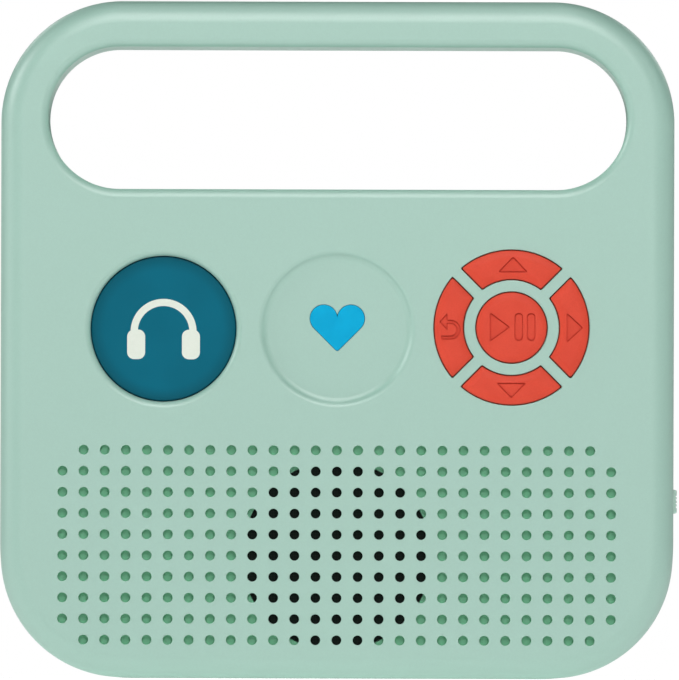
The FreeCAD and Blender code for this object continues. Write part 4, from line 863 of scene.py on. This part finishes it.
# cone: pressed paper pulp
m = Mat("paper_pulp")
fib = m.noise(2200.0, 5.0, 0.7, m.scaled(1.0, 1.0, 3.0), 1.5)
c = m.mix(fib, (0.014, 0.014, 0.015), (0.045, 0.044, 0.043))
m.set(Base_Color=c, Roughness=m.span(fib, 0.75, 0.95), Normal=m.bump(fib, 0.4, 0.05))
mats["paper_black"] = m.m

# ribbon: moulded wires side by side, the first one red
m = Mat("flat_ribbon")
cores = m.wave(125.0, None, "X")
sep = m.node("ShaderNodeSeparateXYZ", {"Vector": m.coord})
first = m.step(sep.outputs["X"], 0.0389, 0.0390)
c = m.mix(first, (0.55, 0.04, 0.03), (0.42, 0.42, 0.43))
c = m.mix(m.math("MULTIPLY", cores, 0.4), c, (0.25, 0.25, 0.26))
m.set(Base_Color=c, Roughness=m.span(m.noise(900.0), 0.4, 0.5), Normal=m.bump(cores, 0.6, 0.2))
mats["ribbon"] = m.m

# leads: one red, one black, told apart by their height
def lead(name, z_mid):
    m = Mat(name)
    sep = m.node("ShaderNodeSeparateXYZ", {"Vector": m.coord})
    k = m.step(sep.outputs["Z"], z_mid * MM - 0.0001, z_mid * MM + 0.0001)
    fine = m.noise(2400.0, 2.0)
    c = m.mix(k, m.mix(fine, (0.010, 0.010, 0.011), (0.02, 0.02, 0.022)), m.mix(fine, (0.40, 0.016, 0.013), (0.50, 0.025, 0.02)))
    m.set(Base_Color=c, Roughness=m.span(fine, 0.32, 0.45), Normal=m.bump(fine, 0.1, 0.02))
    return m.m


mats["lead"] = lead("pvc_lead", 32.1)
lead_speaker = lead("pvc_lead_speaker", 43.0)

# battery: shrink sleeve over the cells, slightly wrinkled all over
m = Mat("shrink_sleeve")
wr = m.noise(160.0, 4.0, 0.6, m.scaled(3.0, 1.0, 1.0), 0.6)
c = m.mix(m.step(wr, 0.3, 0.7), (0.055, 0.135, 0.30), (0.075, 0.17, 0.36))
m.set(Base_Color=c, Roughness=m.span(wr, 0.22, 0.36), Normal=m.bump(wr, 0.35, 0.25))
mats["battery"] = m.m

# ------------------------------------------------------------------ which piece stands for what
pieces = [
    (front, "housing", ["front_shell"], "shell", "shell"),
    (rear, "housing", ["rear_shell"], "shell", "shell"),
    (cover, "housing", ["battery_cover"], "shell", "shell"),
    (window, "housing", ["display_window"], "window", "window"),
    (sign, "housing", [], "white_plastic", "print"),
    (favourite, "favourite", ["favourite_button"], "button", "button"),
    (heart_piece, "favourite", ["heart_lens"], "heart", "heart"),
    (slider, "power_slider", ["power_slider"], "slider", "slider"),
]
for name, ob in keys.items():
    pieces.append((ob, name, [name + "_key"], "keys", "keys"))
for ob, body_name, nodes, slot_name, mat in pieces:
    ob.data.materials.clear()
    ob.data.materials.append(mats[mat])
    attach(ob, body_name)
    if nodes:
        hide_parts(*nodes)

slot_of = {s["node"]: s["material_slot"] for s in frame["record"]["subparts"]}
for node, ob in frame["nodes"].items():
    chosen = lead_speaker if node == "speaker_lead" else mats[slot_of[node]]
    if not ob.data.materials:
        ob.data.materials.append(chosen)
    for i in range(len(ob.data.materials)):
        ob.data.materials[i] = chosen

# ------------------------------------------------------------------ floor, light
m = Mat("pale_floor")
sep = m.node("ShaderNodeSeparateXYZ", {"Vector": m.coord})
fx, fy = sep.outputs["X"], sep.outputs["Y"]
far = m.math("SQRT", m.math("ADD", m.math("MULTIPLY", fx, fx), m.math("MULTIPLY", fy, fy)))
c = m.mix(m.noise(6.0, 3.0), (0.60, 0.60, 0.60), (0.62, 0.62, 0.62))
# painted light: the floor glows, its emission weaker (0.58) within 0.35 m of the origin and stronger (0.92) further
# out; the glow also lights the object from below
m.set(Base_Color=c, Roughness=m.span(m.noise(40.0), 0.75, 0.85), Emission_Strength=m.span(m.step(far, 0.35, 1.0), 0.58, 0.92))
m.p.inputs["Specular IOR Level"].default_value = 0.1
m.p.inputs["Emission Color"].default_value = (1, 1, 1, 1)
me = bpy.data.meshes.new("floor")
me.from_pydata([(-2.2, -2.2, -0.00002), (2.2, -2.2, -0.00002), (2.2, 2.2, -0.00002), (-2.2, 2.2, -0.00002)], [], [(0, 1, 2, 3)])
floor = link("floor", me)
me.materials.append(m.m)

scene = bpy.context.scene
scene.view_settings.view_transform = "Standard"
world = bpy.data.worlds.new("studio")
scene.world = world
world.use_nodes = True
wt = world.node_tree
bg = wt.nodes["Background"]
bg.inputs["Color"].default_value = (1.0, 1.0, 1.0, 1.0)
path = wt.nodes.new("ShaderNodeLightPath")
mr = wt.nodes.new("ShaderNodeMapRange")
wt.links.new(path.outputs["Is Camera Ray"], mr.inputs["Value"])
mr.inputs["To Min"].default_value = 0.02
mr.inputs["To Max"].default_value = 1.0
wt.links.new(mr.outputs["Result"], bg.inputs["Strength"])


def softbox(name, at, size, power, colour=(1, 1, 1), to=(0, 0, 0.075)):
    d = bpy.data.lights.new(name, "AREA")
    d.shape = "RECTANGLE"
    d.size, d.size_y = size
    d.energy = power
    d.color = colour
    ob = bpy.data.objects.new(name, d)
    scene.collection.objects.link(ob)
    ob.location = at
    ob.rotation_mode = "QUATERNION"
    ob.rotation_quaternion = (Vector(to) - Vector(at)).to_track_quat("-Z", "Y")
    ob.visible_camera = False
    return ob


def around(name, az, el, size, power, dist=2.5):
    """A softbox seen from the object at az degrees to the right of the front and el degrees up."""
    a, e = math.radians(az), math.radians(el)
    at = (dist * math.sin(a) * math.cos(e), -dist * math.cos(a) * math.cos(e), 0.075 + dist * math.sin(e))
    return softbox(name, at, size, power)


around("front_low", 3, 23, (1.1, 0.45), 14.2)
around("front_high", 2, 43.5, (1.2, 0.75), 18.3)
around("left", -78, 22, (0.7, 1.0), 17.0)
around("right", 60, 30, (0.8, 0.8), 4.6)
around("top", 40, 80, (0.8, 0.8), 4.4)
around("back_left", -150, 28, (1.0, 0.8), 6.5)
around("back_right", 150, 22, (1.0, 0.8), 6.5)
